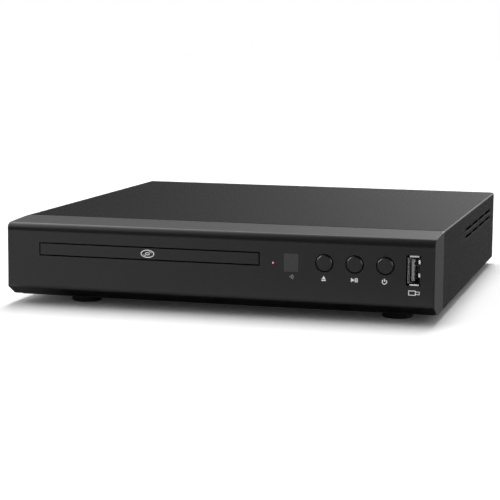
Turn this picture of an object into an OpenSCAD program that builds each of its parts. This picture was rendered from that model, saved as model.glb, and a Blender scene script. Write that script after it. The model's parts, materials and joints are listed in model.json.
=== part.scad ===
// Compact disc player with a motorised tray.
// A moulded bezel and a bent steel cover close over a steel pan, which carries the
// tray loader on the left, the mains board on the right and the main board behind.
// Case coordinates: x across, y back from the face of the bezel, z up from the pan.

/* [Case] */
// Width over the sides of the steel cover
case_w = 244.6; // [240:0.2:256]
// Depth from the face of the bezel to the rear edge of the cover
case_d = 254; // [254:1:280]
// Height of the case without its feet
case_h = 44.4; // [44:0.1:48]
// Thickness of the sheet steel of the cover, the pan and the rear panel
sheet_t = 0.8; // [0.6:0.1:0.8]
// Outer radius of the bends along the top of the cover
cover_bend_r = 1.4; // [1.2:0.1:3]
// Height of a foot
foot_h = 3.8; // [3:0.1:8]
// Diameter of a foot
foot_d = 17; // [14:0.5:20]

/* [Bezel] */
// Depth of the bezel along the top, up to the seam with the cover
bezel_d = 31; // [30:0.5:33]
// Wall thickness of the bezel
bezel_t = 2.2; // [1.8:0.1:2.4]
// Slope of the strip along the top of the bezel, in degrees
strip_fall = 2.7; // [2:0.1:4]
// Radius of the bend between that strip and the face
bend_r = 4.4; // [4:0.1:6]
// Height at which the face turns into the chamfer below it
chamfer_z = 6.7; // [6:0.1:8]
// Depth at which the chamfer reaches the bottom
chamfer_y = 10.8; // [9:0.1:13]

/* [Tray] */
// Width of the door on the front of the tray
door_w = 127.6; // [127.4:0.1:127.8]
// Height of the door
door_h = 6.2; // [6.1:0.1:6.5]
// Middle of the tray, from the middle of the case
loader_x = -38.4; // [-39:0.1:-38]
// How far the tray runs out
tray_travel = 140; // [120:1:140]
// Diameter of the well that holds a full-size disc
disc_well_d = 121.8; // [121:0.1:122]

/* [Controls] */
// Diameter of a button cap
button_d = 8.8; // [8:0.1:9.4]
// Gap between a button cap and its hole
button_gap = 0.6; // [0.4:0.02:0.64]
// How far a button cap stands out of the face
button_proud = 0.7; // [0.4:0.1:1]
// Distance between neighbouring buttons
button_pitch = 16.7; // [15:0.1:17]
// Middle button, from the middle of the case
play_x = 78.85; // [78:0.05:80]
// Height of the buttons above the pan
button_z = 28.15; // [27:0.05:29]

/* [Sockets] */
// Outer radius of a signal jack's barrel
jack_r = 4.15; // [4.1:0.01:4.2]
// How far the barrels stand out behind the rear panel
jack_out = 9; // [8:0.5:10]
// Middle of the mains inlet, from the middle of the case
inlet_x = 92; // [88:1:96]

/* [Hidden] */
$fn = 48;

seam = 0.25; // gap between neighbouring panels of the case
edge_r = 0.6; // rounding of the bezel's outer corners
cut = 1; // how far a cutter reaches past the wall that it cuts
screw_hole_r = 1.25; // pilot hole of the inner screws
screw_pass_r = 1.6; // hole that their shanks pass through
half_w = case_w / 2;
pan_half_w = half_w - sheet_t - 0.3;
rear_y = case_d - 2 * sheet_t - 0.1;
jack_end_y = rear_y + sheet_t + jack_out;
front_y = -(jack_end_y - button_proud) / 2; // centres the whole player on y = 0
skirt_z = sheet_t; // lower edges of the bezel and the cover, level with the top of the pan
chamfer_r = 2.6; // rounding between the face and the chamfer
heel_r = 9; // rounding between the chamfer and the underside
pan_front_y = 15.5; // front edge of the pan, on which the bezel rests
bezel_floor_y = 17.3; // rear edge of the bezel's underside

// The strip along the top of the bezel and the bend in front of it
strip_z = case_h - 0.1;
bend_z = strip_z - (bezel_d - bend_r) * tan(strip_fall) - bend_r / cos(strip_fall);

// Tray levels
door_z = 25.75;
door_t = 2.6;
door_gap = 0.7;
tray_half_w = 63.3;
tray_back_y = 175;
tray_low_z = 25.4;
tray_deck_z = 27.9;
disc_z = 30;
tray_top_z = 32;
disc_y = 78;
slot_half_w = 24;
bar_z = 29.9;

// Loader levels
deck_z = 6;
deck_top_z = 8;
wall_in = 63.8;
wall_out = 66.3;
wall_top_z = 36;
ear_x = 70;
bridge_t = 1;
traverse_gap_x = 56; // half width of the opening in the loader's deck
traverse_gap_y0 = 46;
traverse_gap_y1 = 172;

// Tray drive: rack under the tray, drive gear, pulley gear, belt and motor pulley
drive_module = 1;
drive_teeth = 20;
drive_r = drive_module * drive_teeth / 2;
rack_x = 50;
drive_x = rack_x - drive_r;
drive_y = 22;
wheel_module = 0.8;
wheel_teeth = 36;
pinion_teeth = 12;
wheel_r = wheel_module * wheel_teeth / 2;
mesh_turn = 190; // direction from the drive gear to the pulley gear
mesh_gap = wheel_r + wheel_module * pinion_teeth / 2;
pulley_x = drive_x + mesh_gap * cos(mesh_turn);
pulley_y = drive_y + mesh_gap * sin(mesh_turn);
motor_x = -25;
motor_y = 19;
belt_t = 1.2;
belt_z = 21.2;
big_groove_r = 11.9;
small_groove_r = 3.5;
belt_clear = 0.1;
axle_r = 2;
axle_clear = 0.05;
gear_play = 0.16; // play at the pitch line of every gear pair

// Cam slider
slide_run = 22; // how far the slider moves while the tray runs out
cam_pin_x = -32;
cam_pin_y = 28;
cam_pin_r = 2;
slider_y0 = 39;
slider_t = 2.6;
tilt_pin_xs = [-18, 18];
tilt_pin_z = 21;
tilt_pin_r = 1.5;
tilt_angle = 3.8;
pivot_y = 165;
pivot_z = 14;
pin_reach = pivot_y - (slider_y0 + slider_t / 2);
pin_drop = pin_reach * sin(tilt_angle);

// Traverse
ring_half_w = 52;
ring_y0 = 50;
ring_y1 = 170;
ring_z0 = 12;
ring_z1 = 15.5;
plate_z = 17.6;
plate_t = 1.2;
plate_top_z = plate_z + plate_t;
damper_xs = [-49, 49];
damper_ys = [66, 150];
main_rod_x = -31;
side_rod_x = 28;
rod_z = 21;
rod_r = 1.5;
lens_y = 102; // place of the lens at the innermost track
sled_module = 0.6;
sled_teeth = 14;
sled_rack_x = 34;
sled_gear_x = sled_rack_x + sled_module * sled_teeth / 2;
sled_gear_y = 125;
sled_wheel_module = 0.5;
sled_wheel_teeth = 32;
sled_pinion_teeth = 10;
sled_turn = -100; // direction from the sled gear to the sled motor
sled_gap = sled_wheel_module * (sled_wheel_teeth + sled_pinion_teeth) / 2;
sled_motor_x = sled_gear_x + sled_gap * cos(sled_turn);
sled_motor_y = sled_gear_y + sled_gap * sin(sled_turn);
sled_wheel_z = 24.3;

// Face of the player
led_x = 34.05;
led_z = 27;
led_r = 0.9;
window_x = 43.65;
window_z = 27.5;
window_w = 8.3;
window_h = 10.2;
usb_x = 111.25;
usb_z = 26.25;
board_face_y = 16;
board_t = 1.6;
front_board_screws = [[54, 16], [104, 16], [48, 34.6]];
button_xs = [play_x - button_pitch, play_x, play_x + button_pitch];
button_travel = 0.5;
cap_r = button_d / 2;
plunger_y = 11.4;
switch_y = 12.5;

// Rear sockets
board_z = 6;
board_top_z = board_z + board_t;
jack_z = 17;
jack_xs = [-100, -86, -72];
coax_x = -50;
hdmi_x = -20;
hdmi_z = 10.8;
inlet_z = 16;
inlet_w = 16.5;
inlet_h = 8.5;
inlet_pin_gap = 8.6;

// ---- Helpers

module in_case() {
    translate([0, front_y, foot_h]) children();
}

module in_loader() {
    in_case() translate([loader_x, 0, 0]) children();
}

module block(x0, x1, y0, y1, z0, z1) {
    translate([x0, y0, z0]) cube([x1 - x0, y1 - y0, z1 - z0]);
}

module post(x, y, z0, z1, r) {
    translate([x, y, z0]) cylinder(r = r, h = z1 - z0);
}

module rod_along_x(x0, x1, y, z, r) {
    translate([x0, y, z]) rotate([0, 90, 0]) cylinder(r = r, h = x1 - x0);
}

module rod_along_y(x, y0, y1, z, r) {
    translate([x, y0, z]) rotate([-90, 0, 0]) cylinder(r = r, h = y1 - y0);
}

// A flat shape given as (y, z), run from x0 to x1
module along_x(x0, x1) {
    translate([x0, 0, 0]) rotate([90, 0, 90]) linear_extrude(height = x1 - x0) children();
}

// A flat shape given as (x, z), run from y0 to y1
module along_y(y0, y1) {
    translate([0, y1, 0]) rotate([90, 0, 0]) linear_extrude(height = y1 - y0) children();
}

module round_rect(w, h, r) {
    square([w - 2 * r, h], center = true);
    square([w, h - 2 * r], center = true);
    for (sx = [-1, 1], sy = [-1, 1]) {
        translate([sx * (w / 2 - r), sy * (h / 2 - r)]) circle(r = r);
    }
}

// A rectangle with two round corners at its top: from (-w/2, 0) to (w/2, h)
module round_top(w, h, r) {
    translate([-w / 2, 0]) square([w, h - r]);
    translate([-w / 2 + r, 0]) square([w - 2 * r, h]);
    for (s = [-1, 1]) {
        translate([s * (w / 2 - r), h - r]) circle(r = r);
    }
}

// Screw with a cross recess, its head standing on the point (x, y, z) and its shank below
module pan_screw(x, y, z, shank_l = 6, head_r = 2.8, shank_r = 1.2) {
    head_h = 1.8;
    recess_w = 0.7;
    recess_l = 3.2;
    translate([x, y, z]) {
        difference() {
            cylinder(r1 = head_r, r2 = head_r - 0.7, h = head_h);
            for (turn = [0, 90]) {
                rotate([0, 0, turn]) {
                    block(-recess_l / 2, recess_l / 2, -recess_w / 2, recess_w / 2, 0.8, head_h + cut);
                }
            }
        }
        translate([0, 0, -shank_l]) cylinder(r = shank_r, h = shank_l);
    }
}

// ---- Gears

function involute(a) = tan(a) * 180 / PI - a;

// Half the angle of a tooth at radius r, on a gear of n teeth
function tooth_half(r, n, m) =
    let (pitch_r = m * n / 2, base_r = pitch_r * cos(20))
    90 / n - gear_play / (4 * pitch_r) * 180 / PI + involute(20) - involute(acos(min(1, base_r / r)));

function gear_points(n, m, turn) =
    let (pitch_r = m * n / 2, base_r = pitch_r * cos(20), root_r = pitch_r - 1.15 * m)
    let (tip_r = pitch_r + 0.85 * m, low_r = max(base_r, root_r + 0.05 * m))
    let (left = [root_r, low_r, pitch_r, tip_r], right = [tip_r, pitch_r, low_r, root_r])
    [for (i = [0 : n - 1]) each concat(
        [for (r = left) polar(r, turn + 360 * i / n - tooth_half(r, n, m))],
        [for (r = right) polar(r, turn + 360 * i / n + tooth_half(r, n, m))])];

function polar(r, a) = [r * cos(a), r * sin(a)];

// Spur gear on its own axis, with the middle of one tooth at the angle turn
module spur(n, m, turn, z0, z1) {
    translate([0, 0, z0]) linear_extrude(height = z1 - z0) polygon(gear_points(n, m, turn));
}

// Rack along y with its teeth facing side (-1 or 1) from the pitch line x = 0.
// A gap lies at y = 0, and count teeth run from first.
function rack_points(m, first, count, side, back) =
    let (step = PI * m, half = step / 4 - gear_play / 4)
    let (tip = half - 0.85 * m * tan(20), root = half + 1.15 * m * tan(20))
    let (foot_x = -side * 1.15 * m, tip_x = side * 0.85 * m)
    concat(
        [[-side * back, (first - 0.5) * step]],
        [for (i = [first : first + count - 1]) let (y = (i + 0.5) * step)
            each [[foot_x, y - root], [tip_x, y - tip], [tip_x, y + tip], [foot_x, y + root]]],
        [[-side * back, (first + count + 0.5) * step]]);

// ---- Case

// Outline of the bezel as (y, z), inset from its outer skin
module bezel_outline(inset, back_y) {
    slope = (chamfer_z - skirt_z) / chamfer_y;
    angle = atan(slope);
    lift = inset / cos(angle);
    r = bend_r - inset;
    top_r = max(chamfer_r - inset, 0.1);
    low_r = heel_r - inset;
    top_run = top_r * tan(45 - angle / 2);
    low_run = low_r * tan(angle / 2);
    corner_z = chamfer_z - slope * inset + lift;
    floor_z = skirt_z + inset;
    heel_y = (chamfer_z + lift - floor_z) / slope;
    top_z = strip_z - (bezel_d - back_y) * tan(strip_fall) - inset / cos(strip_fall);
    polygon([
        [inset, corner_z + top_run],
        [inset, bend_z],
        [bend_r - r * sin(strip_fall), bend_z + r * cos(strip_fall)],
        [back_y, top_z],
        [back_y, floor_z],
        [heel_y + low_run, floor_z],
        [heel_y - low_run * cos(angle), floor_z + low_run * sin(angle)],
        [inset + top_run * cos(angle), corner_z - top_run * sin(angle)]
    ]);
    translate([bend_r, bend_z]) circle(r = r);
    translate([inset + top_r, corner_z + top_run]) circle(r = top_r);
    translate([heel_y + low_run, floor_z + low_r]) circle(r = low_r);
}

module bezel_shell() {
    difference() {
        intersection() {
            along_x(-half_w, half_w) bezel_outline(0, bezel_d);
            translate([0, bezel_d, 0]) rotate([0, 0, 180]) {
                linear_extrude(height = case_h) round_top(case_w, bezel_d, edge_r);
            }
            along_y(0, bezel_d) round_top(case_w, case_h, edge_r + 0.4);
        }
        along_x(-half_w + bezel_t, half_w - bezel_t) {
            bezel_outline(bezel_t, bezel_d + cut);
            translate([bezel_floor_y, 0]) square([bezel_d, bezel_t + 2 * cut]);
        }
    }
}

module front_bezel() {
    door_hole_w = door_w + 2 * door_gap;
    hole_r = cap_r + button_gap;
    collar_end_y = 6;
    lip_z = strip_z - bezel_t - 1.4;
    color([0.05, 0.05, 0.055]) in_case() difference() {
        union() {
            bezel_shell();
            // collars that guide the button caps
            for (x = button_xs) {
                rod_along_y(x, bezel_t - 0.2, collar_end_y, button_z, hole_r + 1.2);
            }
            // posts for the front board
            for (p = front_board_screws) {
                rod_along_y(p[0], bezel_t - 0.2, board_face_y, p[1], 2.6);
            }
            // lip that tucks under the front edge of the cover
            block(-half_w + 8, half_w - 8, bezel_d - 4, bezel_d + 6, lip_z, lip_z + 1.4);
            // sill and lintel behind the tray opening
            for (z = [door_z - door_gap - 1.6, door_z + door_h + door_gap]) {
                block(loader_x - door_hole_w / 2, loader_x + door_hole_w / 2, bezel_t - 0.2, 5, z, z + 1.6);
            }
        }
        block(loader_x - door_hole_w / 2, loader_x + door_hole_w / 2, -cut, 7,
            door_z - door_gap, door_z + door_h + door_gap);
        for (x = button_xs) {
            rod_along_y(x, -cut, collar_end_y + cut, button_z, hole_r);
        }
        rod_along_y(led_x, -cut, bezel_t + cut, led_z, led_r + 0.08);
        block(window_x - window_w / 2, window_x + window_w / 2, -cut, 1.25,
            window_z - window_h / 2, window_z + window_h / 2);
        block(window_x - 3.2, window_x + 3.2, 0, bezel_t + cut, window_z - 3.7, window_z + 3.7);
        translate([usb_x - 0.4, 0, usb_z]) along_y(-cut, bezel_t + cut) round_rect(8.1, 16.8, 1.2);
        for (p = front_board_screws) {
            rod_along_y(p[0], 9, board_face_y + cut, p[1], screw_hole_r);
        }
    }
}

vent_rows = [34.5, 30.1];
vent_count = 4;
vent_len = 26;
vent_pitch = 30;
vent_y = 118;
lip_h = 11;
cover_screw_xs = [-110, 0, 110];
cover_screw_z = 38.4;

module top_cover() {
    start_y = bezel_d + seam;
    color([0.07, 0.07, 0.075]) in_case() difference() {
        union() {
            difference() {
                along_y(start_y, case_d) {
                    translate([0, skirt_z]) round_top(case_w, case_h - skirt_z, cover_bend_r);
                }
                along_y(start_y - cut, case_d + cut) {
                    translate([0, -cut]) {
                        round_top(case_w - 2 * sheet_t, case_h - sheet_t + cut, cover_bend_r - sheet_t);
                    }
                }
            }
            // lip folded down over the rear panel
            block(-half_w + 3, half_w - 3, case_d - sheet_t, case_d, case_h - lip_h, case_h - sheet_t / 2);
        }
        for (s = [-1, 1], z = vent_rows, i = [0 : vent_count - 1]) {
            translate([s * half_w, vent_y + vent_pitch * i + vent_len / 2, z]) {
                along_x(-2, 2) round_rect(vent_len, 2, 0.98);
            }
        }
        for (x = cover_screw_xs) {
            rod_along_y(x, case_d - 2 * sheet_t, case_d + cut, cover_screw_z, 1.7);
        }
    }
}

foot_places = [[-85.1, 28.3], [97.7, 28.3], [-85.1, case_d - 32], [97.7, case_d - 32]];
loader_posts = [for (x = [-ear_x, ear_x], y = [26, 178]) [x + loader_x, y]];
main_board_screws = [[-110, 196], [28, 196], [-110, 236], [10, 236]];
power_board_screws = [[48, 118], [110, 118], [48, 226], [110, 226]];
rear_screw_x = 113;
rear_screw_z = 7;

module chassis_pan() {
    color([0.62, 0.63, 0.64]) in_case() difference() {
        union() {
            block(-half_w + bezel_t + 0.4, half_w - bezel_t - 0.4, pan_front_y, bezel_d + 1, 0, sheet_t);
            block(-pan_half_w, pan_half_w, bezel_d + 0.5, rear_y - 0.1, 0, sheet_t);
            for (s = [-1, 1]) {
                translate([s * (pan_half_w - sheet_t / 2), 0, 0]) {
                    block(-sheet_t / 2, sheet_t / 2, bezel_d + 9, rear_y - 0.1, 0, 14);
                }
                // tabs that the rear panel is screwed to
                block(s * rear_screw_x - 4, s * rear_screw_x + 4, rear_y - 0.9, rear_y - 0.1, 0, 12);
            }
            for (p = loader_posts) {
                post(p[0], p[1], 0, deck_z, 4);
            }
            for (p = concat(main_board_screws, power_board_screws)) {
                post(p[0], p[1], 0, board_z, 3.2);
            }
        }
        for (p = concat(loader_posts, main_board_screws, power_board_screws)) {
            post(p[0], p[1], 0.2, 10, screw_hole_r);
        }
        for (p = foot_places) {
            post(p[0], p[1], -cut, sheet_t + cut, 2.5);
        }
        for (s = [-1, 1]) {
            rod_along_y(s * rear_screw_x, rear_y - 2, rear_y, rear_screw_z, 1.35);
        }
    }
}

module rear_panel() {
    panel_low_z = sheet_t + 0.1;
    panel_top_z = case_h - sheet_t - 0.2;
    color([0.07, 0.07, 0.075]) in_case() difference() {
        block(-pan_half_w, pan_half_w, rear_y, rear_y + sheet_t, panel_low_z, panel_top_z);
        for (x = concat(jack_xs, [coax_x])) {
            rod_along_y(x, rear_y - cut, rear_y + cut + sheet_t, jack_z, jack_r + 0.6);
        }
        translate([hdmi_x, 0, hdmi_z]) {
            along_y(rear_y - cut, rear_y + sheet_t + cut) round_rect(16.2, 7.2, 1);
        }
        translate([inlet_x, 0, inlet_z]) {
            along_y(rear_y - cut, rear_y + sheet_t + cut) round_rect(20.6, 12.6, 1);
        }
        // vent slots above the main board
        for (i = [0 : 9]) {
            translate([4 + i * 4.4, 0, 20]) {
                along_y(rear_y - cut, rear_y + sheet_t + cut) round_rect(2, 14, 0.98);
            }
        }
        for (x = cover_screw_xs) {
            rod_along_y(x, rear_y - cut, rear_y + sheet_t + cut, cover_screw_z, 1.35);
        }
        for (s = [-1, 1]) {
            rod_along_y(s * rear_screw_x, rear_y - cut, rear_y + sheet_t + cut, rear_screw_z, 1.5);
        }
    }
}

module feet() {
    foot_r = foot_d / 2;
    stem_r = 2.4;
    color([0.02, 0.02, 0.02]) in_case() for (p = foot_places) {
        translate([p[0], p[1], 0]) {
            difference() {
                rotate_extrude() polygon([
                    [0, 0], [foot_r, 0], [foot_r, -foot_h + 0.4], [foot_r - 0.4, -foot_h], [0, -foot_h]
                ]);
                translate([0, 0, -foot_h - cut]) cylinder(r = 3.6, h = cut + 1.4);
            }
            // stem pushed through the pan, with a head that holds it
            cylinder(r = stem_r, h = sheet_t + 0.1);
            translate([0, 0, sheet_t + 0.1]) cylinder(r1 = stem_r + 0.6, r2 = stem_r - 0.6, h = 1.9);
        }
    }
}

module case_screws() {
    color([0.05, 0.05, 0.05]) in_case() {
        for (x = cover_screw_xs) {
            translate([x, case_d, cover_screw_z]) rotate([-90, 0, 0]) pan_screw(0, 0, 0, 6, 2.9, 1.3);
        }
        for (s = [-1, 1]) {
            translate([s * rear_screw_x, rear_y + sheet_t, rear_screw_z]) {
                rotate([-90, 0, 0]) pan_screw(0, 0, 0, 4, 2.9, 1.3);
            }
        }
    }
}

// ---- Face of the player

module ir_window() {
    fit_gap = 0.05;
    color([0.1, 0.1, 0.1, 0.9]) in_case() {
        block(window_x - window_w / 2 + fit_gap, window_x + window_w / 2 - fit_gap, -0.02, 1.2,
            window_z - window_h / 2 + fit_gap, window_z + window_h / 2 - fit_gap);
    }
}

module led_pipe() {
    color([0.8, 0.05, 0.1]) in_case() {
        rod_along_y(led_x, 0.2, 12.6, led_z, led_r);
        translate([led_x, 0.2, led_z]) sphere(r = led_r - 0.02);
    }
}

module indicator_diode() {
    color([0.9, 0.85, 0.8]) in_case() {
        block(led_x - 1.6, led_x + 1.6, 12.8, board_face_y, led_z - 1, led_z + 1);
    }
}

usb_in_w = 5.1;
usb_in_h = 12.5;
usb_t = 0.3;
usb_lip_out = 1.85;
usb_side_out = 0.65;

module usb_shell() {
    lip_y = 1.6;
    mouth_y = -0.05;
    side_y = 1;
    back_y = board_face_y - 0.2;
    half_h = usb_in_h / 2;
    half_in_w = usb_in_w / 2;
    color([0.75, 0.75, 0.76]) in_case() translate([usb_x, 0, usb_z]) {
        difference() {
            block(-half_in_w - usb_t, half_in_w + usb_t, side_y, back_y, -half_h - usb_t, half_h + usb_t);
            block(-half_in_w, half_in_w, side_y - cut, back_y - usb_t, -half_h, half_h);
        }
        // flanges above and below the mouth, and flared lips beside it
        for (s = [-1, 1]) {
            along_x(0.05 - half_in_w, half_in_w - 0.05) polygon([
                [lip_y, s * half_h], [0.3, s * (half_h + usb_lip_out - 0.85)],
                [mouth_y, s * (half_h + usb_lip_out - 0.85)], [mouth_y, s * (half_h + usb_lip_out)],
                [0.3, s * (half_h + usb_lip_out)], [0.3, s * (half_h + usb_lip_out - 0.45)],
                [lip_y, s * (half_h + usb_t)]
            ]);
            translate([0, 0, -half_h - 0.65]) linear_extrude(height = usb_in_h + 1.3) polygon([
                [s * half_in_w, side_y + 0.4], [s * (half_in_w + usb_side_out), mouth_y],
                [s * (half_in_w + usb_side_out + usb_t), mouth_y], [s * (half_in_w + usb_t), side_y + 0.4]
            ]);
        }
    }
}

module usb_tongue() {
    tongue_x = -1;
    tongue_t = 1.75;
    base_half_w = usb_in_w / 2 - 0.1;
    base_half_h = usb_in_h / 2 - 0.1;
    color([0.75, 0.75, 0.72]) in_case() translate([usb_x, 0, usb_z]) {
        difference() {
            union() {
                block(tongue_x - tongue_t / 2, tongue_x + tongue_t / 2, 2.2, 12, -5.95, 5.95);
                block(-base_half_w, base_half_w, 11.8, 15.3, -base_half_h, base_half_h);
            }
            // seats of the four contacts
            for (z = [-3.5, -1, 1, 3.5]) {
                block(tongue_x + tongue_t / 2 - 0.3, tongue_x + 2, 1, 11, z - 0.55, z + 0.55);
            }
        }
    }
}

module front_board() {
    color([0.1, 0.3, 0.16]) in_case() difference() {
        block(31, 117.4, board_face_y, board_face_y + board_t, 11, 38);
        for (p = front_board_screws) {
            rod_along_y(p[0], board_face_y - cut, board_face_y + board_t + cut, p[1], screw_pass_r);
        }
    }
}

module tact_switches() {
    bore_end_y = 14.3;
    color([0.15, 0.15, 0.15]) in_case() for (x = button_xs) {
        difference() {
            block(x - 3, x + 3, switch_y, board_face_y, button_z - 3, button_z + 3);
            rod_along_y(x, switch_y - cut, bore_end_y, button_z, 1.75);
        }
    }
}

module ir_receiver() {
    color([0.08, 0.07, 0.08]) in_case() {
        block(window_x - 2.8, window_x + 2.8, 11.4, board_face_y, window_z - 3.2, window_z + 3.2);
        translate([window_x, 11.4, window_z]) sphere(r = 2);
    }
}

module front_ribbon() {
    ribbon_x = 38.4;
    ribbon_t = 0.4;
    low_z = 12;
    high_z = 20;
    color([0.85, 0.85, 0.83]) in_case() {
        block(ribbon_x, ribbon_x + ribbon_t, 21.2, 214, low_z, high_z);
        block(24.2, ribbon_x + ribbon_t, 214, 214 + ribbon_t, low_z, high_z);
    }
}

// One moulded cap on its stem, pointing along +y from the face
module button_cap(x) {
    rim = 0.5;
    flange_y = 6.4;
    color([0.06, 0.06, 0.065]) in_case() translate([x, -button_proud, button_z]) rotate([-90, 0, 0]) {
        rotate_extrude() {
            polygon([
                [0, 0], [cap_r - rim, 0], [cap_r, rim],
                [cap_r, flange_y + button_proud], [0, flange_y + button_proud]
            ]);
            translate([0, flange_y + button_proud]) square([cap_r + 1.2, 1]);
            translate([0, flange_y + button_proud]) square([1.5, plunger_y - flange_y]);
        }
    }
}

module plunger(x) {
    color([0.9, 0.9, 0.88]) in_case() rod_along_y(x, plunger_y, 13.3, button_z, 1.65);
}

module eject_button() {
    button_cap(button_xs[0]);
}

module play_button() {
    button_cap(button_xs[1]);
}

module power_button() {
    button_cap(button_xs[2]);
}

module eject_plunger() {
    plunger(button_xs[0]);
}

module play_plunger() {
    plunger(button_xs[1]);
}

module power_plunger() {
    plunger(button_xs[2]);
}

// ---- Boards and sockets

module main_board() {
    color([0.1, 0.3, 0.16]) in_case() difference() {
        block(-116, 34, 190, 248, board_z, board_top_z);
        for (p = main_board_screws) {
            post(p[0], p[1], board_z - cut, board_top_z + cut, screw_pass_r);
        }
    }
}

// Packages on the main board: decoder, memory, flash memory and servo driver
module board_chips() {
    chips = [[-60, 208, 24, 24, 1.6], [-84, 208, 11, 18, 1.2], [-36, 212, 8, 6, 1.6], [-8, 206, 16, 10, 2]];
    color([0.06, 0.06, 0.06]) in_case() for (c = chips) {
        block(c[0] - c[2] / 2, c[0] + c[2] / 2, c[1] - c[3] / 2, c[1] + c[3] / 2,
            board_top_z, board_top_z + c[4]);
    }
}

module board_capacitors() {
    // each one as x, y, radius and height
    main_caps = [[-100, 214, 2.5, 7], [-100, 222, 2.5, 7], [-60, 226, 2.5, 7], [-36, 224, 3.15, 8],
        [-26, 222, 3.15, 8], [6, 222, 4, 10]];
    power_caps = [[54, 130, 8, 26], [104, 190, 5, 16], [104, 204, 5, 16], [92, 202, 4, 12]];
    color([0.12, 0.12, 0.3]) in_case() for (c = concat(main_caps, power_caps)) {
        post(c[0], c[1], board_top_z, board_top_z + c[3], c[2]);
    }
}

// Ribbon and lead connectors: front board, front ribbon, pickup, loader and supply
module board_connectors() {
    color([0.9, 0.88, 0.82]) in_case() {
        block(33, 38.3, board_face_y + board_t, 25, 11.5, 20.5);
        block(20, 24.1, 210, 219, board_top_z, 20.5);
        block(-66, -42, 191, 195, board_top_z, board_top_z + 2.5);
        block(-100, -84, 192, 197, board_top_z, board_top_z + 6);
        block(26, 32, 222, 238, board_top_z, board_top_z + 7);
        block(44, 50, 200, 216, board_top_z, board_top_z + 7);
    }
}

module power_harness() {
    color([0.75, 0.1, 0.08]) in_case() for (i = [0 : 4]) {
        rod_along_x(29, 47, 225.2 + i * 2.4, board_top_z + 7.7, 0.7);
        post(29, 225.2 + i * 2.4, board_top_z + 7, board_top_z + 8.4, 0.7);
        rod_along_y(47, 202 + i * 2.4, 225.2 + i * 2.4, board_top_z + 7.7 + i * 1.5, 0.7);
    }
}

module inner_screws() {
    color([0.7, 0.7, 0.7]) in_case() {
        for (p = loader_posts) {
            pan_screw(p[0], p[1], deck_top_z);
        }
        for (x = [-ear_x, ear_x], y = [66, 90]) {
            pan_screw(x + loader_x, y, wall_top_z + bridge_t);
        }
        for (p = concat(main_board_screws, power_board_screws)) {
            pan_screw(p[0], p[1], board_top_z, 5.4);
        }
        for (p = front_board_screws) {
            translate([p[0], board_face_y + board_t, p[1]]) rotate([-90, 0, 0]) pan_screw(0, 0, 0);
        }
    }
}

// Housing of a group of signal jacks, with one barrel for each place across in xs.
// A barrel is a sleeve around an insulator with a blind contact hole.
module jack_group(xs) {
    housing_y = 238;
    difference() {
        union() {
            block(xs[0] - 7, xs[len(xs) - 1] + 7, housing_y, rear_y - 0.1, board_top_z, 24);
            for (x = xs) {
                rod_along_y(x, rear_y - 1, rear_y + sheet_t, jack_z, jack_r + 0.5);
                rod_along_y(x, rear_y - 1, jack_end_y, jack_z, jack_r);
            }
        }
        for (x = xs) {
            difference() {
                rod_along_y(x, rear_y - 4, jack_end_y + cut, jack_z, 3.3);
                rod_along_y(x, rear_y - 5, jack_end_y - 0.6, jack_z, 2.6);
            }
            rod_along_y(x, rear_y, jack_end_y + cut, jack_z, 1.6);
        }
    }
}

module av_jacks() {
    color([0.8, 0.8, 0.2]) in_case() {
        jack_group(jack_xs);
        jack_group([coax_x]);
    }
}

module hdmi_socket() {
    socket_w = 15;
    socket_h = 5.8;
    wall = 0.5;
    color([0.75, 0.75, 0.76]) in_case() translate([hdmi_x, 0, hdmi_z]) {
        difference() {
            along_y(241, case_d - 0.4) round_rect(socket_w, socket_h, 0.8);
            along_y(244, case_d) polygon([
                [-socket_w / 2 + wall, socket_h / 2 - wall], [socket_w / 2 - wall, socket_h / 2 - wall],
                [socket_w / 2 - wall, -0.6], [socket_w / 2 - wall - 1.6, -socket_h / 2 + wall],
                [-socket_w / 2 + wall + 1.6, -socket_h / 2 + wall], [-socket_w / 2 + wall, -0.6]
            ]);
        }
        block(-5.5, 5.5, 243.9, case_d - 1.8, 0.2, 1.2);
    }
}

// Two-pole inlet for a plug with two round sockets
module inlet_outline(grow) {
    r = inlet_h / 2 + grow;
    gap = inlet_w - inlet_h;
    square([gap, 2 * r], center = true);
    for (s = [-1, 1]) {
        translate([s * gap / 2, 0]) circle(r = r);
    }
}

module mains_inlet() {
    flange_y = rear_y + sheet_t + 0.1;
    floor_y = flange_y - 11;
    color([0.05, 0.05, 0.05]) in_case() translate([inlet_x, 0, inlet_z]) {
        difference() {
            union() {
                along_y(floor_y - 3, flange_y) round_rect(20, 12, 1);
                along_y(flange_y - 0.01, flange_y + 1.6) round_rect(24, 15, 2);
            }
            along_y(floor_y, flange_y + 2 + cut) inlet_outline(0);
        }
        for (s = [-1, 1]) {
            rod_along_y(s * inlet_pin_gap / 2, floor_y - 1, flange_y - 0.4, 0, 1.2);
        }
        block(-9, 9, floor_y - 3, floor_y + 5, board_top_z - inlet_z, -5.9);
    }
}

module power_board() {
    color([0.72, 0.55, 0.3]) in_case() difference() {
        block(42, 116, 112, 248, board_z, board_top_z);
        for (p = power_board_screws) {
            post(p[0], p[1], board_z - cut, board_top_z + cut, screw_pass_r);
        }
    }
}

module transformer() {
    color([0.85, 0.75, 0.2]) in_case() translate([78, 160, board_top_z]) {
        block(-12, 12, -10, 10, 0, 3);
        difference() {
            block(-12, 12, -3.5, 3.5, 3, 24);
            block(-8, 8, -4, 4, 6, 21);
        }
        difference() {
            block(-10.9, 10.9, -9, 9, 6.2, 20.8);
            block(-12, -7.95, -3.6, 3.6, 5, 22);
            block(7.95, 12, -3.6, 3.6, 5, 22);
        }
    }
}

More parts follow.
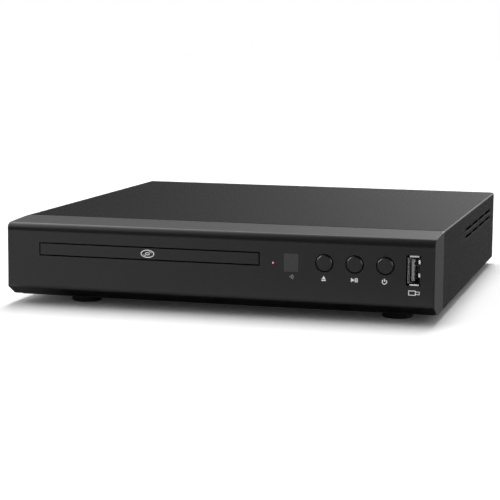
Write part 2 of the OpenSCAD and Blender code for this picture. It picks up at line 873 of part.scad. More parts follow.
module fuse() {
    fuse_x = 100;
    fuse_z = board_top_z + 4;
    color([0.8, 0.8, 0.85]) in_case() {
        rod_along_y(fuse_x, 216, 236, fuse_z, 2.4);
        for (y = [216, 231]) {
            difference() {
                rod_along_y(fuse_x, y, y + 5, fuse_z, 2.7);
                rod_along_y(fuse_x, y - cut, y + 5 + cut, fuse_z, 2.4);
            }
            block(fuse_x - 1, fuse_x + 1, y + 1, y + 4, board_top_z, fuse_z - 2.5);
        }
    }
}

// ---- Loader

module loader_frame() {
    color([0.82, 0.82, 0.8]) in_loader() difference() {
        union() {
            difference() {
                block(-wall_out, wall_out, 12, 184, deck_z, deck_top_z);
                block(-traverse_gap_x, traverse_gap_x, traverse_gap_y0, traverse_gap_y1,
                    deck_z - cut, deck_top_z + cut);
            }
            for (s = [-1, 1]) {
                wall_x = s < 0 ? -wall_out : wall_in;
                ledge_x = s < 0 ? -wall_in - 0.1 : 59;
                tab_x = s < 0 ? -wall_in - 0.1 : 60.5;
                block(wall_x, wall_x + wall_out - wall_in, 8, 184, deck_top_z - 0.1, wall_top_z);
                block(ledge_x, ledge_x + 4.9, 8, 184, 23.2, 25.1);
                for (y = [8, 96, 150]) {
                    block(tab_x, tab_x + 3.4, y, y + 22, tray_top_z + 0.4, tray_top_z + 2);
                }
                // ears and bridge posts outside the walls
                ear_in = s < 0 ? -ear_x - 4 : wall_out - 0.1;
                ear_w = ear_x + 4.1 - wall_out;
                for (ear = [[20, 32], [60, 96], [172, 184]]) {
                    block(ear_in, ear_in + ear_w, ear[0], ear[1], deck_z, deck_top_z);
                }
                for (y = [66, 90]) {
                    post(s * ear_x, y, deck_top_z - 0.1, wall_top_z, 3.3);
                }
                // bosses of the traverse pivot
                boss_x = s < 0 ? -60 : 54;
                block(boss_x, boss_x + 6, pivot_y - 6, pivot_y + 6, deck_top_z - 0.1, pivot_z + 4);
                block(s < 0 ? -58 : 56, s < 0 ? -56 : 58, pivot_y - 6, pivot_y + 6, deck_z, deck_top_z);
            }
            // posts of the gears
            post(drive_x, drive_y, deck_top_z - 0.1, 27.3, axle_r);
            post(drive_x, drive_y, deck_top_z - 0.1, 11.6, axle_r + 2);
            post(pulley_x, pulley_y, deck_top_z - 0.1, 24, axle_r);
            post(pulley_x, pulley_y, deck_top_z - 0.1, 11.6, axle_r + 1.4);
            // rails of the cam slider
            block(-60, 48, slider_y0 - 1.4, slider_y0 - 0.3, deck_top_z - 0.1, 9.6);
            block(-60, 48, slider_y0 + slider_t + 0.3, slider_y0 + slider_t + 1.4, deck_top_z - 0.1, 9.6);
        }
        rod_along_x(-traverse_gap_x - 10, traverse_gap_x + 10, pivot_y, pivot_z, axle_r + axle_clear);
        for (x = [-ear_x, ear_x], y = [26, 178]) {
            post(x, y, deck_z - cut, deck_top_z + cut, screw_pass_r);
        }
        for (x = [-ear_x, ear_x], y = [66, 90]) {
            post(x, y, wall_top_z - 8, wall_top_z + cut, screw_hole_r);
        }
    }
}

module clamp_bridge() {
    hole_r = 12;
    top_z = wall_top_z + bridge_t;
    color([0.7, 0.71, 0.72]) in_loader() difference() {
        union() {
            block(-ear_x - 4, ear_x + 4, 60, 96, wall_top_z, top_z);
            // stiffening ribs
            for (y = [61, 93]) {
                block(-ear_x + 12, ear_x - 12, y, y + 2, top_z - 0.1, top_z + 1.6);
            }
        }
        post(0, disc_y, wall_top_z - cut, top_z + cut, hole_r);
        for (x = [-ear_x, ear_x], y = [66, 90]) {
            post(x, y, wall_top_z - cut, top_z + cut, screw_pass_r);
        }
    }
}

module loading_motor() {
    can_r = 10.5;
    can_top_z = 19.5;
    color([0.72, 0.72, 0.74]) in_loader() difference() {
        union() {
            post(motor_x, motor_y, deck_top_z, can_top_z, can_r);
            post(motor_x, motor_y, can_top_z - 0.1, can_top_z + 0.6, 3);
        }
        post(motor_x, motor_y, deck_top_z + 2, can_top_z + 2, 1 + axle_clear);
    }
}

// Belt around both pulleys, at a small distance from their grooves: an arc around
// each pulley and two straight runs that reach a little way into the arcs
module loading_belt() {
    big = big_groove_r + belt_clear;
    small = small_groove_r + belt_clear;
    across = [pulley_x - motor_x, pulley_y - motor_y];
    heading = atan2(across[1], across[0]);
    lean = asin((big - small) / norm(across));
    run = norm(across) * cos(lean);
    reach = 0.2;
    color([0.03, 0.03, 0.03]) in_loader() {
        translate([motor_x, motor_y, belt_z]) rotate([0, 0, heading]) {
            belt_arc(small, 90 + lean, 180 - 2 * lean);
            for (s = [-1, 1]) {
                rotate([0, 0, s * lean]) translate([-reach, s * (small + belt_t / 2), 0]) {
                    block(0, run + 2 * reach, -belt_t / 2, belt_t / 2, 0, belt_t);
                }
            }
        }
        translate([pulley_x, pulley_y, belt_z]) rotate([0, 0, heading]) {
            belt_arc(big, -90 - lean, 180 + 2 * lean);
        }
    }
}

// Arc of the belt around a groove of radius r, from the angle start over sweep degrees
module belt_arc(r, start, sweep) {
    rotate([0, 0, start]) rotate_extrude(angle = sweep) translate([r, 0]) square([belt_t, belt_t]);
}

// Pulley as (r, z): two flanges with a groove for the belt between them
module pulley_outline(groove_r, bore_r, z0, z1) {
    flange_r = groove_r + 1.6;
    polygon([
        [bore_r, z0], [flange_r, z0], [flange_r, belt_z - 0.5], [groove_r, belt_z - 0.2],
        [groove_r, belt_z + belt_t + 0.2], [flange_r, belt_z + belt_t + 0.5], [flange_r, z1], [bore_r, z1]
    ]);
}

module motor_pulley() {
    color([0.85, 0.82, 0.7]) in_loader() translate([motor_x, motor_y, 0]) {
        rotate_extrude() pulley_outline(small_groove_r, 0, 20.4, 23.4);
        translate([0, 0, 11]) cylinder(r = 1, h = 10);
    }
}

module pulley_gear() {
    bore_r = axle_r + axle_clear;
    color([0.9, 0.9, 0.86]) in_loader() translate([pulley_x, pulley_y, 0]) difference() {
        union() {
            rotate_extrude() pulley_outline(big_groove_r, 0, 20, 23.7);
            spur(pinion_teeth, wheel_module, mesh_turn - 180 + 180 / pinion_teeth, 12, 15.6);
            translate([0, 0, 15.5]) cylinder(r = 4, h = 4.6);
        }
        translate([0, 0, 10]) cylinder(r = bore_r, h = 20);
    }
}

module drive_gear() {
    bore_r = axle_r + axle_clear;
    color([0.9, 0.9, 0.86]) in_loader() translate([drive_x, drive_y, 0]) difference() {
        union() {
            spur(wheel_teeth, wheel_module, mesh_turn, 12.2, 15.2);
            translate([0, 0, 15.1]) cylinder(r = 5, h = 10.4);
            spur(drive_teeth, drive_module, 0, 25.4, 27.5);
        }
        translate([0, 0, 10]) cylinder(r = bore_r, h = 20);
    }
}

// Upright plate that slides across the loader and lowers the traverse by its two sloping slots
module cam_slider() {
    top_z = 24.2;
    slot_r = tilt_pin_r + 0.45;
    low_z = deck_top_z + 0.25;
    color([0.2, 0.2, 0.22]) in_loader() {
        along_y(slider_y0, slider_y0 + slider_t) difference() {
            translate([-24, low_z]) square([70, top_z - low_z]);
            for (x = tilt_pin_xs) {
                slope_slot(x, slot_r);
            }
        }
        // arm and pin that run in the groove under the tray
        block(cam_pin_x - 3, -23.9, slider_y0, slider_y0 + slider_t, top_z - 1.4, top_z);
        block(cam_pin_x - 3, cam_pin_x + 3, cam_pin_y, slider_y0 + 0.1, top_z - 1.4, top_z);
        post(cam_pin_x, cam_pin_y, top_z - 1.4, 27.5, cam_pin_r);
    }
}

// Sloping slot for a pin of the traverse, as (x, z), from the raised to the lowered place
module slope_slot(x, r) {
    turn = atan2(-pin_drop, slide_run);
    side = polar(r, turn + 90);
    raised = [x, tilt_pin_z];
    lowered = [x + slide_run, tilt_pin_z - pin_drop];
    translate(raised) circle(r = r);
    translate(lowered) circle(r = r);
    polygon([raised + side, lowered + side, lowered - side, raised - side]);
}

// ---- Tray

module tray() {
    slot_y = 86;
    spindle_gap_r = 17;
    color([0.1, 0.1, 0.105]) in_loader() {
        difference() {
            block(-tray_half_w, tray_half_w, door_t, tray_back_y, tray_deck_z, tray_top_z);
            post(0, disc_y, disc_z, tray_top_z + cut, disc_well_d / 2);
            post(0, disc_y, disc_z - 0.8, disc_z + cut, 41);
            // opening for the turntable and the pickup
            post(0, disc_y, tray_deck_z - cut, tray_top_z + cut, spindle_gap_r);
            block(-spindle_gap_r, spindle_gap_r, disc_y, slot_y + 1, tray_deck_z - cut, tray_top_z + cut);
            block(-slot_half_w, slot_half_w, slot_y, 165, tray_deck_z - cut, tray_top_z + cut);
            block(-slot_half_w, slot_half_w, 164, tray_back_y + cut, tray_deck_z - cut, bar_z);
            // finger notches beside the disc
            for (s = [-1, 1]) {
                post(s * 45, 27, disc_z - 0.8, tray_top_z + cut, 11);
            }
        }
        // skirts along the sides and the front
        for (s = [-1, 1]) {
            translate([s * (tray_half_w - 0.9), 0, 0]) {
                block(-0.9, 0.9, door_t, tray_back_y, tray_low_z, tray_deck_z + 0.1);
            }
        }
        block(-tray_half_w, tray_half_w, door_t, door_t + 1.8, tray_low_z, tray_deck_z + 0.1);
        // rack that the drive gear turns against
        translate([rack_x, drive_y, tray_low_z]) {
            linear_extrude(height = tray_deck_z - tray_low_z + 0.1) {
                polygon(rack_points(drive_module, -2, 49, -1, 4));
            }
        }
        cam_groove();
    }
}

// Two ribs under the tray with the slider's pin between them
module cam_groove() {
    lean = atan2(slide_run, tray_travel);
    rib_t = 1.2;
    gap_r = cam_pin_r + 0.35;
    start_y = cam_pin_y - 5;
    run = (tray_travel + 9) / cos(lean);
    for (s = [-1, 1]) {
        translate([cam_pin_x, cam_pin_y, tray_low_z]) rotate([0, 0, lean]) {
            translate([s * (gap_r + rib_t / 2), 0, 0]) {
                block(-rib_t / 2, rib_t / 2, start_y - cam_pin_y, start_y - cam_pin_y + run,
                    0, tray_deck_z - tray_low_z + 0.1);
            }
        }
    }
}

module tray_door() {
    corner_r = 0.4;
    color([0.05, 0.05, 0.055]) in_loader() {
        translate([0, 0, door_z + door_h / 2]) along_y(0, door_t) round_rect(door_w, door_h, corner_r);
    }
}

// ---- Traverse

module traverse_frame() {
    stand_y = ring_y0 + 3;
    color([0.12, 0.12, 0.13]) in_loader() {
        difference() {
            union() {
                block(-ring_half_w, ring_half_w, ring_y0, ring_y1, ring_z0, ring_z1);
                block(-24, 24, ring_y0, stand_y, ring_z1 - 0.1, tilt_pin_z + 2);
            }
            block(-ring_half_w + 6, ring_half_w - 6, ring_y0 + 7, ring_y1 - 9, ring_z0 - cut, ring_z1 + cut);
            for (x = damper_xs, y = damper_ys) {
                post(x, y, ring_z0 - cut, ring_z1 + cut, 1.2);
            }
        }
        for (x = tilt_pin_xs) {
            rod_along_y(x, slider_y0 - 1, ring_y0 + 0.1, tilt_pin_z, tilt_pin_r);
        }
        for (s = [-1, 1]) {
            pivot_x = s < 0 ? -59.5 : ring_half_w - 0.1;
            rod_along_x(pivot_x, pivot_x + 59.6 - ring_half_w, pivot_y, pivot_z, axle_r);
        }
    }
}

module mech_plate() {
    rod_post_ys = [[86, 90], [160, 164]];
    color([0.72, 0.73, 0.74]) in_loader() difference() {
        union() {
            block(-40, 46, 58, 166, plate_z, plate_top_z);
            for (x = damper_xs, y = damper_ys) {
                block(min(x, 0) - 4.5 * (x < 0 ? 1 : 0), max(x, 0) + 4.5 * (x > 0 ? 1 : 0), y - 5, y + 5,
                    plate_z, plate_top_z);
            }
            for (x = [main_rod_x, side_rod_x], y = rod_post_ys) {
                block(x - 2.9, x + 2.9, y[0], y[1], plate_top_z - 0.1, rod_z + 2.4);
            }
            post(sled_gear_x, sled_gear_y, plate_top_z - 0.1, 26, 1.2);
        }
        block(-slot_half_w, slot_half_w, 91, 158, plate_z - cut, plate_top_z + cut);
        post(0, disc_y, plate_z - cut, plate_top_z + cut, 5);
        post(sled_motor_x, sled_motor_y, plate_z - cut, plate_top_z + cut, 2.2);
        for (x = damper_xs, y = damper_ys) {
            post(x, y, plate_z - cut, plate_top_z + cut, 2.7);
        }
        for (x = [main_rod_x, side_rod_x]) {
            rod_along_y(x, 87, 163, rod_z, rod_r + 0.03);
        }
    }
}

module dampers() {
    color([0.04, 0.04, 0.04]) in_loader() for (x = damper_xs, y = damper_ys) {
        translate([x, y, ring_z1]) rotate_extrude() polygon([
            [1.5, 0], [4, 0], [4, plate_z - ring_z1 - 0.05], [2.6, plate_z - ring_z1 - 0.05],
            [2.6, plate_top_z - ring_z1 + 0.05], [4, plate_top_z - ring_z1 + 0.05], [4, 5.2], [1.5, 5.2]
        ]);
    }
}

module damper_screws() {
    color([0.7, 0.7, 0.7]) in_loader() for (x = damper_xs, y = damper_ys) {
        pan_screw(x, y, ring_z1 + 5.25, 8, 3.4, 1.15);
    }
}

module spindle_motor() {
    can_r = 12;
    color([0.6, 0.6, 0.62]) in_loader() difference() {
        union() {
            post(0, disc_y, 11.4, plate_z, can_r);
            post(0, disc_y, plate_z - 0.1, 19.6, 4.8);
        }
        post(0, disc_y, 12.2, 20, 1 + axle_clear);
    }
}

module spindle_shaft() {
    color([0.85, 0.85, 0.86]) in_loader() post(0, disc_y, 12.6, 31.6, 1);
}

module turntable() {
    color([0.08, 0.08, 0.08]) in_loader() translate([0, disc_y, 0]) rotate_extrude() polygon([
        [1, 20.2], [5.5, 20.2], [5.5, 28.2], [14, 29.2], [14, 30.8], [7.45, 30.8],
        [7.45, 31.6], [6.7, 32.5], [6.4, 32.5], [6.4, 31.2], [1, 31.2]
    ]);
}

module spindle_magnet() {
    color([0.5, 0.5, 0.52]) in_loader() translate([0, disc_y, 31.2]) difference() {
        cylinder(r = 6.3, h = 1.2);
        translate([0, 0, -cut]) cylinder(r = 2.2, h = 4);
    }
}

module clamper() {
    color([0.85, 0.85, 0.83]) in_loader() translate([0, disc_y, 0]) rotate_extrude() polygon([
        [8.6, 32.6], [15.5, 32.6], [15.5, 34.2], [10, 35.2], [10, 37.3], [14, 37.3], [14, 38.6],
        [8.9, 38.6], [8.9, 36.2], [0, 36.2], [0, 34.2], [8.6, 34.2]
    ]);
}

module clamper_yoke() {
    color([0.6, 0.6, 0.62]) in_loader() post(0, disc_y, 36.2, 37.8, 8.7);
}

module guide_rods() {
    color([0.85, 0.85, 0.86]) in_loader() for (x = [main_rod_x, side_rod_x]) {
        rod_along_y(x, 87.2, 162.8, rod_z, rod_r);
    }
}

module pickup_body() {
    top_z = 23.6;
    low_z = 14;
    arm_low_z = 19.3;
    color([0.45, 0.45, 0.47]) in_loader() difference() {
        union() {
            block(-22, 22, 92, 119, low_z, top_z);
            block(main_rod_x - 3.4, -21.9, 93, 117, arm_low_z, 24);
            block(21.9, 31.6, 100, 110, arm_low_z, 24);
            block(31.5, 33.4, 85.2, 129, arm_low_z + 0.4, 22.9);
            translate([sled_rack_x, sled_gear_y, arm_low_z + 0.5]) linear_extrude(height = 2.9) {
                polygon(rack_points(sled_module, -21, 23, 1, 1.4));
            }
        }
        rod_along_y(main_rod_x, 92, 118, rod_z, rod_r + axle_clear);
        block(side_rod_x - 2.1, side_rod_x + 2.1, 99, 111, arm_low_z - cut, rod_z + rod_r + 0.15);
        block(-16, 16, lens_y + 11, 117, low_z - cut, low_z + 2.4);
    }
}

module lens_holder() {
    low_z = 24.2;
    color([0.1, 0.1, 0.1]) in_loader() difference() {
        union() {
            block(-9, 9, lens_y - 7, lens_y + 7, low_z, 27.4);
            post(0, lens_y, 27.3, 28.4, 4);
        }
        post(0, lens_y, 27.5, 30, 2.9);
        block(-7.6, -5, lens_y - 4, lens_y + 4, low_z + 1, 28);
        block(5, 7.6, lens_y - 4, lens_y + 4, low_z + 1, 28);
    }
}

module lens() {
    ball_r = 3.4;
    color([0.7, 0.75, 0.95, 0.7]) in_loader() intersection() {
        post(0, lens_y, 27.5, 29.2, 2.85);
        translate([0, lens_y, 29.1 - ball_r]) sphere(r = ball_r);
    }
}

module sled_gear() {
    color([0.9, 0.9, 0.86]) in_loader() translate([sled_gear_x, sled_gear_y, 0]) difference() {
        union() {
            spur(sled_teeth, sled_module, 180, 19.4, 22.8);
            translate([0, 0, 22.7]) cylinder(r = 3, h = sled_wheel_z - 22.6);
            spur(sled_wheel_teeth, sled_wheel_module, sled_turn, sled_wheel_z, sled_wheel_z + 1.3);
        }
        translate([0, 0, 18]) cylinder(r = 1.2 + axle_clear, h = 10);
    }
}

module sled_pinion() {
    color([0.9, 0.9, 0.86]) in_loader() translate([sled_motor_x, sled_motor_y, 0]) {
        spur(sled_pinion_teeth, sled_wheel_module, sled_turn - 180 + 180 / sled_pinion_teeth,
            sled_wheel_z - 0.2, sled_wheel_z + 1.5);
        translate([0, 0, 11]) cylinder(r = 0.8, h = sled_wheel_z - 11);
    }
}

module sled_motor() {
    can_r = 8;
    color([0.72, 0.72, 0.74]) in_loader() difference() {
        union() {
            post(sled_motor_x, sled_motor_y, 8.6, plate_z, can_r);
            post(sled_motor_x, sled_motor_y, plate_z - 0.1, plate_z + 1, 2);
        }
        post(sled_motor_x, sled_motor_y, 10, 20, 0.8 + axle_clear);
    }
}

front_bezel();
top_cover();
chassis_pan();
rear_panel();
feet();
case_screws();
ir_window();
led_pipe();
indicator_diode();
usb_shell();
usb_tongue();
front_board();
tact_switches();
ir_receiver();
front_ribbon();
main_board();
board_chips();
board_capacitors();
board_connectors();
inner_screws();
av_jacks();
hdmi_socket();
mains_inlet();
power_board();
transformer();
fuse();
power_harness();
loader_frame();
clamp_bridge();
loading_motor();
loading_belt();
tray();
tray_door();
cam_slider();
drive_gear();
pulley_gear();
motor_pulley();
traverse_frame();
mech_plate();
dampers();
damper_screws();
spindle_motor();
guide_rods();
sled_motor();
turntable();
spindle_shaft();
spindle_magnet();
clamper();
clamper_yoke();
pickup_body();
lens_holder();
lens();
sled_gear();
sled_pinion();
eject_button();
play_button();
power_button();
eject_plunger();
play_plunger();
power_plunger();
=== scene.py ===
import json
import math

import bpy
import numpy as np
from mathutils import Matrix, Vector


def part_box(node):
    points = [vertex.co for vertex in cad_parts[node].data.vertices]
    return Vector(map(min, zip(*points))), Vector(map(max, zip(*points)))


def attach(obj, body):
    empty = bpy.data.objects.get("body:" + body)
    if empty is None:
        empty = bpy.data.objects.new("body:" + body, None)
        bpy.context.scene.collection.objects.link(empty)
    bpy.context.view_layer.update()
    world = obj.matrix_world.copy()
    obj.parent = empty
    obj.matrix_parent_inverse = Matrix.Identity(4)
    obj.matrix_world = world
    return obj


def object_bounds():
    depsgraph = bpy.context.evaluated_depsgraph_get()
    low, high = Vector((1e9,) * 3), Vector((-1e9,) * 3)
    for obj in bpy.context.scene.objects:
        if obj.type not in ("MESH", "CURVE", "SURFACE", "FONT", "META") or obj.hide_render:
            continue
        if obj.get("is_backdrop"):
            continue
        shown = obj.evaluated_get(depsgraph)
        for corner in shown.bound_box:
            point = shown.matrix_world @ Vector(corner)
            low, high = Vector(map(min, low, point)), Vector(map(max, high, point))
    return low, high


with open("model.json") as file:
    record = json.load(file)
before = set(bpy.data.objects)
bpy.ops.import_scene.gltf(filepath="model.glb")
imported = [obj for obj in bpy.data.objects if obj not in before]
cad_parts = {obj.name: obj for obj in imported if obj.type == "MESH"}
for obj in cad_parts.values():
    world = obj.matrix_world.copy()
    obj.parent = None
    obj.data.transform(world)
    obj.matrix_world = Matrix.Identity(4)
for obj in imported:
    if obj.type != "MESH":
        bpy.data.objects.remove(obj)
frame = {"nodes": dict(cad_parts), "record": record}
cadBox = [list(corner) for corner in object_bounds()]
nodes = frame["nodes"]
print("frame loaded:", len(nodes), "nodes")

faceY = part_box("tray_door")[0].y        # plane of the front face
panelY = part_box("rear_panel")[1].y      # outer plane of the rear panel


# shader helpers

# empty node tree of a material or world
def newTree(block):
    block.use_nodes = True
    block.node_tree.nodes.clear()
    return block.node_tree


def addNode(tree, kind, values=None, links=None, **settings):
    node = tree.nodes.new(kind)
    for key, value in settings.items():
        setattr(node, key, value)
    for key, value in (values or {}).items():
        node.inputs[key].default_value = value
    for key, source in (links or {}).items():
        tree.links.new(source, node.inputs[key])
    return node


def newGroup(name, inputs, outputs):
    group = bpy.data.node_groups.new(name, "ShaderNodeTree")
    for label, kind, value in inputs:
        socket = group.interface.new_socket(name=label, in_out="INPUT", socket_type=kind)
        if value is not None:
            socket.default_value = value
    for label, kind in outputs:
        group.interface.new_socket(name=label, in_out="OUTPUT", socket_type=kind)
    return group, addNode(group, "NodeGroupInput"), addNode(group, "NodeGroupOutput")


def useGroup(tree, group, values=None, links=None):
    return addNode(tree, "ShaderNodeGroup", values, links, node_tree=group)


def mathNode(tree, operation, a, b=0.0, clamp=False):
    node = addNode(tree, "ShaderNodeMath", operation=operation, use_clamp=clamp)
    for index, item in enumerate((a, b)):
        if isinstance(item, (int, float)):
            node.inputs[index].default_value = item
        else:
            tree.links.new(item, node.inputs[index])
    return node.outputs[0]


def noiseNode(tree, vector, scale, detail):
    node = addNode(tree, "ShaderNodeTexNoise", {"Detail": detail})
    tree.links.new(vector, node.inputs["Vector"])
    if isinstance(scale, (int, float)):
        node.inputs["Scale"].default_value = scale
    else:
        tree.links.new(scale, node.inputs["Scale"])
    return node.outputs["Fac"]


# fine pitted skin of moulded plastic or powder paint: two noises, one of them 3 times coarser
def makeGrainGroup():
    group, src, out = newGroup("fineGrain",
        [("Vector", "NodeSocketVector", None), ("Size", "NodeSocketFloat", 2600.0)],
        [("Height", "NodeSocketFloat"), ("Mask", "NodeSocketFloat")])
    coarseSize, fineShare, coarseShare = 0.34, 0.65, 0.35
    fine = noiseNode(group, src.outputs["Vector"], src.outputs["Size"], 1.0)
    third = mathNode(group, "MULTIPLY", src.outputs["Size"], coarseSize)
    coarse = noiseNode(group, src.outputs["Vector"], third, 2.0)
    height = mathNode(group, "ADD", mathNode(group, "MULTIPLY", fine, fineShare),
        mathNode(group, "MULTIPLY", coarse, coarseShare))
    group.links.new(height, out.inputs["Height"])
    group.links.new(coarse, out.inputs["Mask"])
    return group


# edges rub lighter: how far a rounded normal leans from the flat one, broken up by a noise
def makeWearGroup():
    group, src, out = newGroup("edgeWear",
        [("Vector", "NodeSocketVector", None), ("Radius", "NodeSocketFloat", 0.0004),
         ("Amount", "NodeSocketFloat", 1.0)],
        [("Mask", "NodeSocketFloat"), ("Normal", "NodeSocketVector")])
    noiseSize, noiseStrength = 420.0, 6.0
    bevel = addNode(group, "ShaderNodeBevel", samples=4)
    group.links.new(src.outputs["Radius"], bevel.inputs["Radius"])
    flat = addNode(group, "ShaderNodeNewGeometry")
    dot = addNode(group, "ShaderNodeVectorMath", operation="DOT_PRODUCT")
    group.links.new(bevel.outputs["Normal"], dot.inputs[0])
    group.links.new(flat.outputs["Normal"], dot.inputs[1])
    lean = mathNode(group, "SUBTRACT", 1.0, dot.outputs["Value"], clamp=True)
    rub = noiseNode(group, src.outputs["Vector"], noiseSize, 3.0)
    broken = mathNode(group, "MULTIPLY", lean, mathNode(group, "MULTIPLY", rub, noiseStrength))
    mask = mathNode(group, "MULTIPLY", broken, src.outputs["Amount"], clamp=True)
    group.links.new(mask, out.inputs["Mask"])
    group.links.new(bevel.outputs["Normal"], out.inputs["Normal"])
    return group


# slow drift between two tones of the same colour
def makeDriftGroup():
    group, src, out = newGroup("toneDrift",
        [("Vector", "NodeSocketVector", None), ("Size", "NodeSocketFloat", 30.0),
         ("Tone A", "NodeSocketColor", (0.5, 0.5, 0.5, 1)),
         ("Tone B", "NodeSocketColor", (0.5, 0.5, 0.5, 1))],
        [("Color", "NodeSocketColor")])
    cloud = noiseNode(group, src.outputs["Vector"], src.outputs["Size"], 3.0)
    mix = addNode(group, "ShaderNodeMix", data_type="RGBA")
    group.links.new(cloud, mix.inputs["Factor"])
    group.links.new(src.outputs["Tone A"], mix.inputs["A"])
    group.links.new(src.outputs["Tone B"], mix.inputs["B"])
    group.links.new(mix.outputs["Result"], out.inputs["Color"])
    return group


# drawn or ground metal: a noise stretched along one direction
def makeBrushGroup():
    group, src, out = newGroup("brushedLines",
        [("Vector", "NodeSocketVector", None), ("Stretch", "NodeSocketVector", (1, 1, 1))],
        [("Height", "NodeSocketFloat"), ("Mask", "NodeSocketFloat")])
    mapping = addNode(group, "ShaderNodeMapping")
    group.links.new(src.outputs["Vector"], mapping.inputs["Vector"])
    group.links.new(src.outputs["Stretch"], mapping.inputs["Scale"])
    line = noiseNode(group, mapping.outputs["Vector"], 1.0, 3.0)
    group.links.new(line, out.inputs["Height"])
    group.links.new(line, out.inputs["Mask"])
    return group


# crystals of a zinc coating: cells of slightly different tone
def makeSpangleGroup():
    group, src, out = newGroup("zincSpangle",
        [("Vector", "NodeSocketVector", None), ("Size", "NodeSocketFloat", 160.0)],
        [("Mask", "NodeSocketFloat")])
    cell = addNode(group, "ShaderNodeTexVoronoi", feature="F1")
    group.links.new(src.outputs["Vector"], cell.inputs["Vector"])
    group.links.new(src.outputs["Size"], cell.inputs["Scale"])
    tone = addNode(group, "ShaderNodeSeparateColor")
    group.links.new(cell.outputs["Color"], tone.inputs["Color"])
    group.links.new(tone.outputs["Red"], out.inputs["Mask"])
    return group


# dust that lies on faces that look up
def makeDustGroup():
    group, src, out = newGroup("dustFilm",
        [("Vector", "NodeSocketVector", None), ("Amount", "NodeSocketFloat", 0.1)],
        [("Mask", "NodeSocketFloat")])
    falloff, speckSize = 3.0, 900.0
    flat = addNode(group, "ShaderNodeNewGeometry")
    axes = addNode(group, "ShaderNodeSeparateXYZ", None, {"Vector": flat.outputs["Normal"]})
    facing = mathNode(group, "POWER", mathNode(group, "MAXIMUM", axes.outputs["Z"], 0.0), falloff)
    speck = noiseNode(group, src.outputs["Vector"], speckSize, 4.0)
    mask = mathNode(group, "MULTIPLY", mathNode(group, "MULTIPLY", facing, speck),
        src.outputs["Amount"], clamp=True)
    group.links.new(mask, out.inputs["Mask"])
    return group


grainGroup = makeGrainGroup()
wearGroup = makeWearGroup()
driftGroup = makeDriftGroup()
brushGroup = makeBrushGroup()
spangleGroup = makeSpangleGroup()
dustGroup = makeDustGroup()
print("shader groups made")


# finishes, one for each material slot of the record

